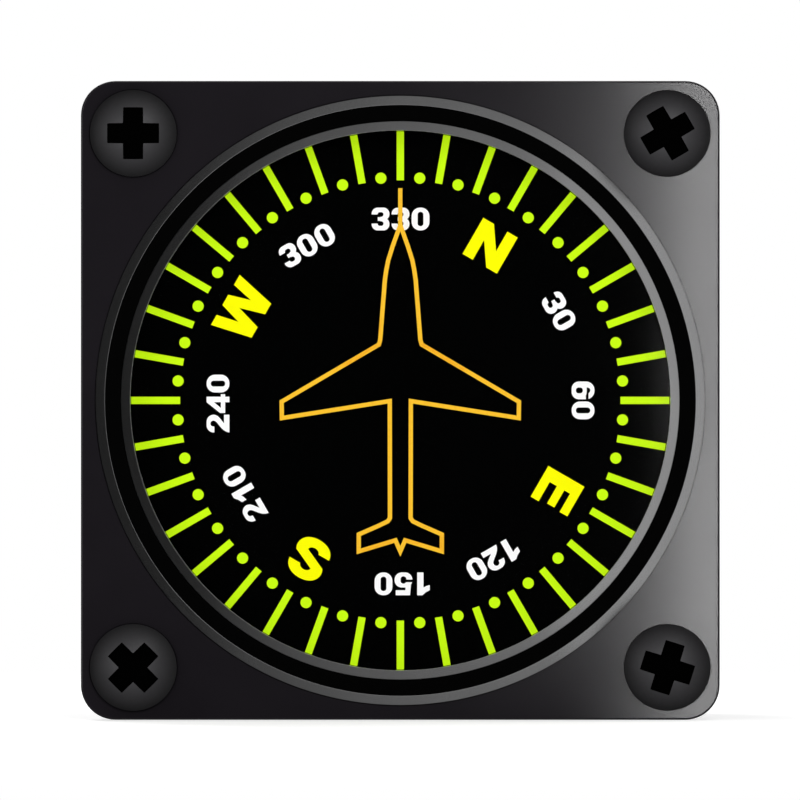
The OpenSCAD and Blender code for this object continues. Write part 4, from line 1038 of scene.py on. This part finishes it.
class COMPASS_OT_stage(bpy.types.Operator):
    """Floor, daylight, lamps and the camera of the photograph"""
    bl_idname = "compass.stage"
    bl_label = "Stage"

    def execute(self, context):
        context.scene.view_settings.view_transform = "Standard"
        self.camera(context.scene)
        self.world(context.scene)
        self.floor()
        self.flags()
        self.lamp("Key", (0.17, -1.0, 0.3), (0.3, 0.3), 2.8)
        self.lamp("Fill", (-0.42, -1.0, 0.1), (0.4, 0.4), 2.0)
        self.lamp("Side", (0.6, 0.35, 0.25), (0.3, 0.3), 1.5)
        self.lamp("Sheen", (0.0592, -0.9, -0.03), (0.008, 0.24), 0.72)
        self.lamp("Rear", (-0.3, 0.8, 0.6), (0.4, 0.4), 5)
        return {"FINISHED"}

    def camera(self, scene):
        """Straight in front of the dial, from far enough away to show it flat."""
        sensor_mm, view_w, distance, picture_px = 36, 103.37 * MM, 2.0, 800
        data = bpy.data.cameras.new("Camera")
        camera = bpy.data.objects.new("Camera", data)
        scene.collection.objects.link(camera)
        data.sensor_width = sensor_mm
        data.lens = sensor_mm * distance / view_w
        data.clip_start, data.clip_end = 0.05, 20
        data.shift_x, data.shift_y = -0.3 / picture_px, 0.4 / picture_px
        camera.location = (0, FACE - distance, 0)
        camera.rotation_euler = (math.radians(90), 0, 0)
        scene.camera = camera

    def world(self, scene):
        """White to the camera and in reflections, softer as daylight."""
        daylight, white = 0.45, 1.0
        recipe = Recipe("Daylight", "worlds")
        light = recipe.add("ShaderNodeBackground", {}, {
            "Color": (1, 1, 1, 1), "Strength": daylight + recipe.seen() * (white - daylight),
        })
        recipe.add("ShaderNodeOutputWorld", {}, {"Surface": light})
        scene.world = recipe.made

    def floor(self):
        """A pale floor, level with the flange's lower edge, that fades into the white."""
        half, level, near, fade_w = 0.6, -FLANGE_HALF - 0.05 * MM, 0.16, 0.2
        floor = primitive("plane", "Floor", (0, 0.03, level), (half, half, 1))
        edit(floor, "FACE", everything, lambda: bpy.ops.mesh.subdivide(number_cuts=7))
        recipe = Recipe("Pale floor")
        grain = recipe.noise(2 * MM, 2.0)
        diffuse = recipe.add("ShaderNodeBsdfDiffuse", {}, {
            "Color": recipe.mix(grain, (0.86, 0.86, 0.86), (0.9, 0.9, 0.9)),
        })
        glow = recipe.add("ShaderNodeEmission", {}, {
            "Color": (1, 1, 1, 1), "Strength": recipe.seen() * 0.5,
        })
        lit = recipe.add("ShaderNodeAddShader", {}, {"Shader": diffuse, "Shader_001": glow})
        reach = recipe.add(
            "ShaderNodeVectorMath", {"operation": "LENGTH"}, {"Vector": recipe.place}, "Value"
        )
        paint(floor, recipe.thinned(lit, ((reach - near) / fade_w).clamped()))
        floor.visible_glossy = False

    def flags(self):
        """Black cards that only reflections see.

        Those at the left, above and below thin out to the right, so the ring's lands run
        from dark to bright. The one behind the lamps keeps the white out of the dial.
        """
        thin_middle, thin_slope, quarter = 0.345, 1.2, TURN / 4
        recipe = Recipe("Black flags")
        across = recipe.add("ShaderNodeSeparateXYZ", {}, {"Vector": recipe.place}, "X")
        black = recipe.add("ShaderNodeEmission", {}, {"Color": (0.03, 0.03, 0.03, 1)})
        graded = recipe.thinned(black, (thin_middle + across * thin_slope).clamped())
        recipe = Recipe("Black card")
        plain = recipe.surface(recipe.add("ShaderNodeEmission", {}, {"Color": (0, 0, 0, 1)}))
        for name, place, size, turn, finish in (
            ("Flag_left", (-0.3, -0.03, 0), (0.3, 0.17, 1), (0, quarter, 0), graded),
            ("Flag_top", (-0.04, -0.03, 0.3), (0.26, 0.17, 1), (0, 0, 0), graded),
            ("Flag_bottom", (-0.04, -0.03, -0.3), (0.26, 0.17, 1), (0, 0, 0), graded),
            ("Flag_front", (0, -1.25, 0), (0.3, 0.3, 1), (quarter, 0, 0), plain),
        ):
            flag = primitive("plane", name, place, size, turn)
            paint(flag, finish)
            flag.visible_camera = flag.visible_diffuse = flag.visible_shadow = False
            flag.visible_transmission = False

    def lamp(self, name, place, size, power):
        """A soft lamp that points at the compass, just behind its face."""
        target = Vector((0, 0.01, 0))
        data = bpy.data.lights.new(name, "AREA")
        data.shape = "RECTANGLE"
        data.size, data.size_y = size
        data.energy = power
        lamp = bpy.data.objects.new(name, data)
        bpy.context.scene.collection.objects.link(lamp)
        lamp.location = place
        lamp.rotation_euler = (target - Vector(place)).to_track_quat("-Z", "Y").to_euler()
        lamp.visible_camera = False


OPERATORS = (
    COMPASS_OT_finishes, COMPASS_OT_flange, COMPASS_OT_dial_ring, COMPASS_OT_glass,
    COMPASS_OT_panel_screws, COMPASS_OT_barrel, COMPASS_OT_rear_cover,
    COMPASS_OT_adjuster_bushes, COMPASS_OT_stage,
)


class COMPASS_PT_panel(bpy.types.Panel):
    """The compass's pieces, sizes and colours"""
    bl_idname = "COMPASS_PT_panel"
    bl_label = "Compass"
    bl_space_type = "VIEW_3D"
    bl_region_type = "UI"
    bl_category = "Compass"

    def draw(self, context):
        layout = self.layout
        for operator in OPERATORS:
            layout.operator(operator.bl_idname)
        for group in (context.scene.compass_sizes, context.scene.compass_colours):
            for name in group.__annotations__:
                layout.prop(group, name)


CLASSES = (CompassSizes, CompassColours, *OPERATORS, COMPASS_PT_panel)


def register():
    for one in CLASSES:
        bpy.utils.register_class(one)
    bpy.types.Scene.compass_sizes = bpy.props.PointerProperty(type=CompassSizes)
    bpy.types.Scene.compass_colours = bpy.props.PointerProperty(type=CompassColours)


def unregister():
    del bpy.types.Scene.compass_colours
    del bpy.types.Scene.compass_sizes
    for one in reversed(CLASSES):
        bpy.utils.unregister_class(one)


def main():
    register()
    for operator in OPERATORS:
        group, name = operator.bl_idname.split(".")
        getattr(getattr(bpy.ops, group), name)()


if __name__ == "__main__":
    main()
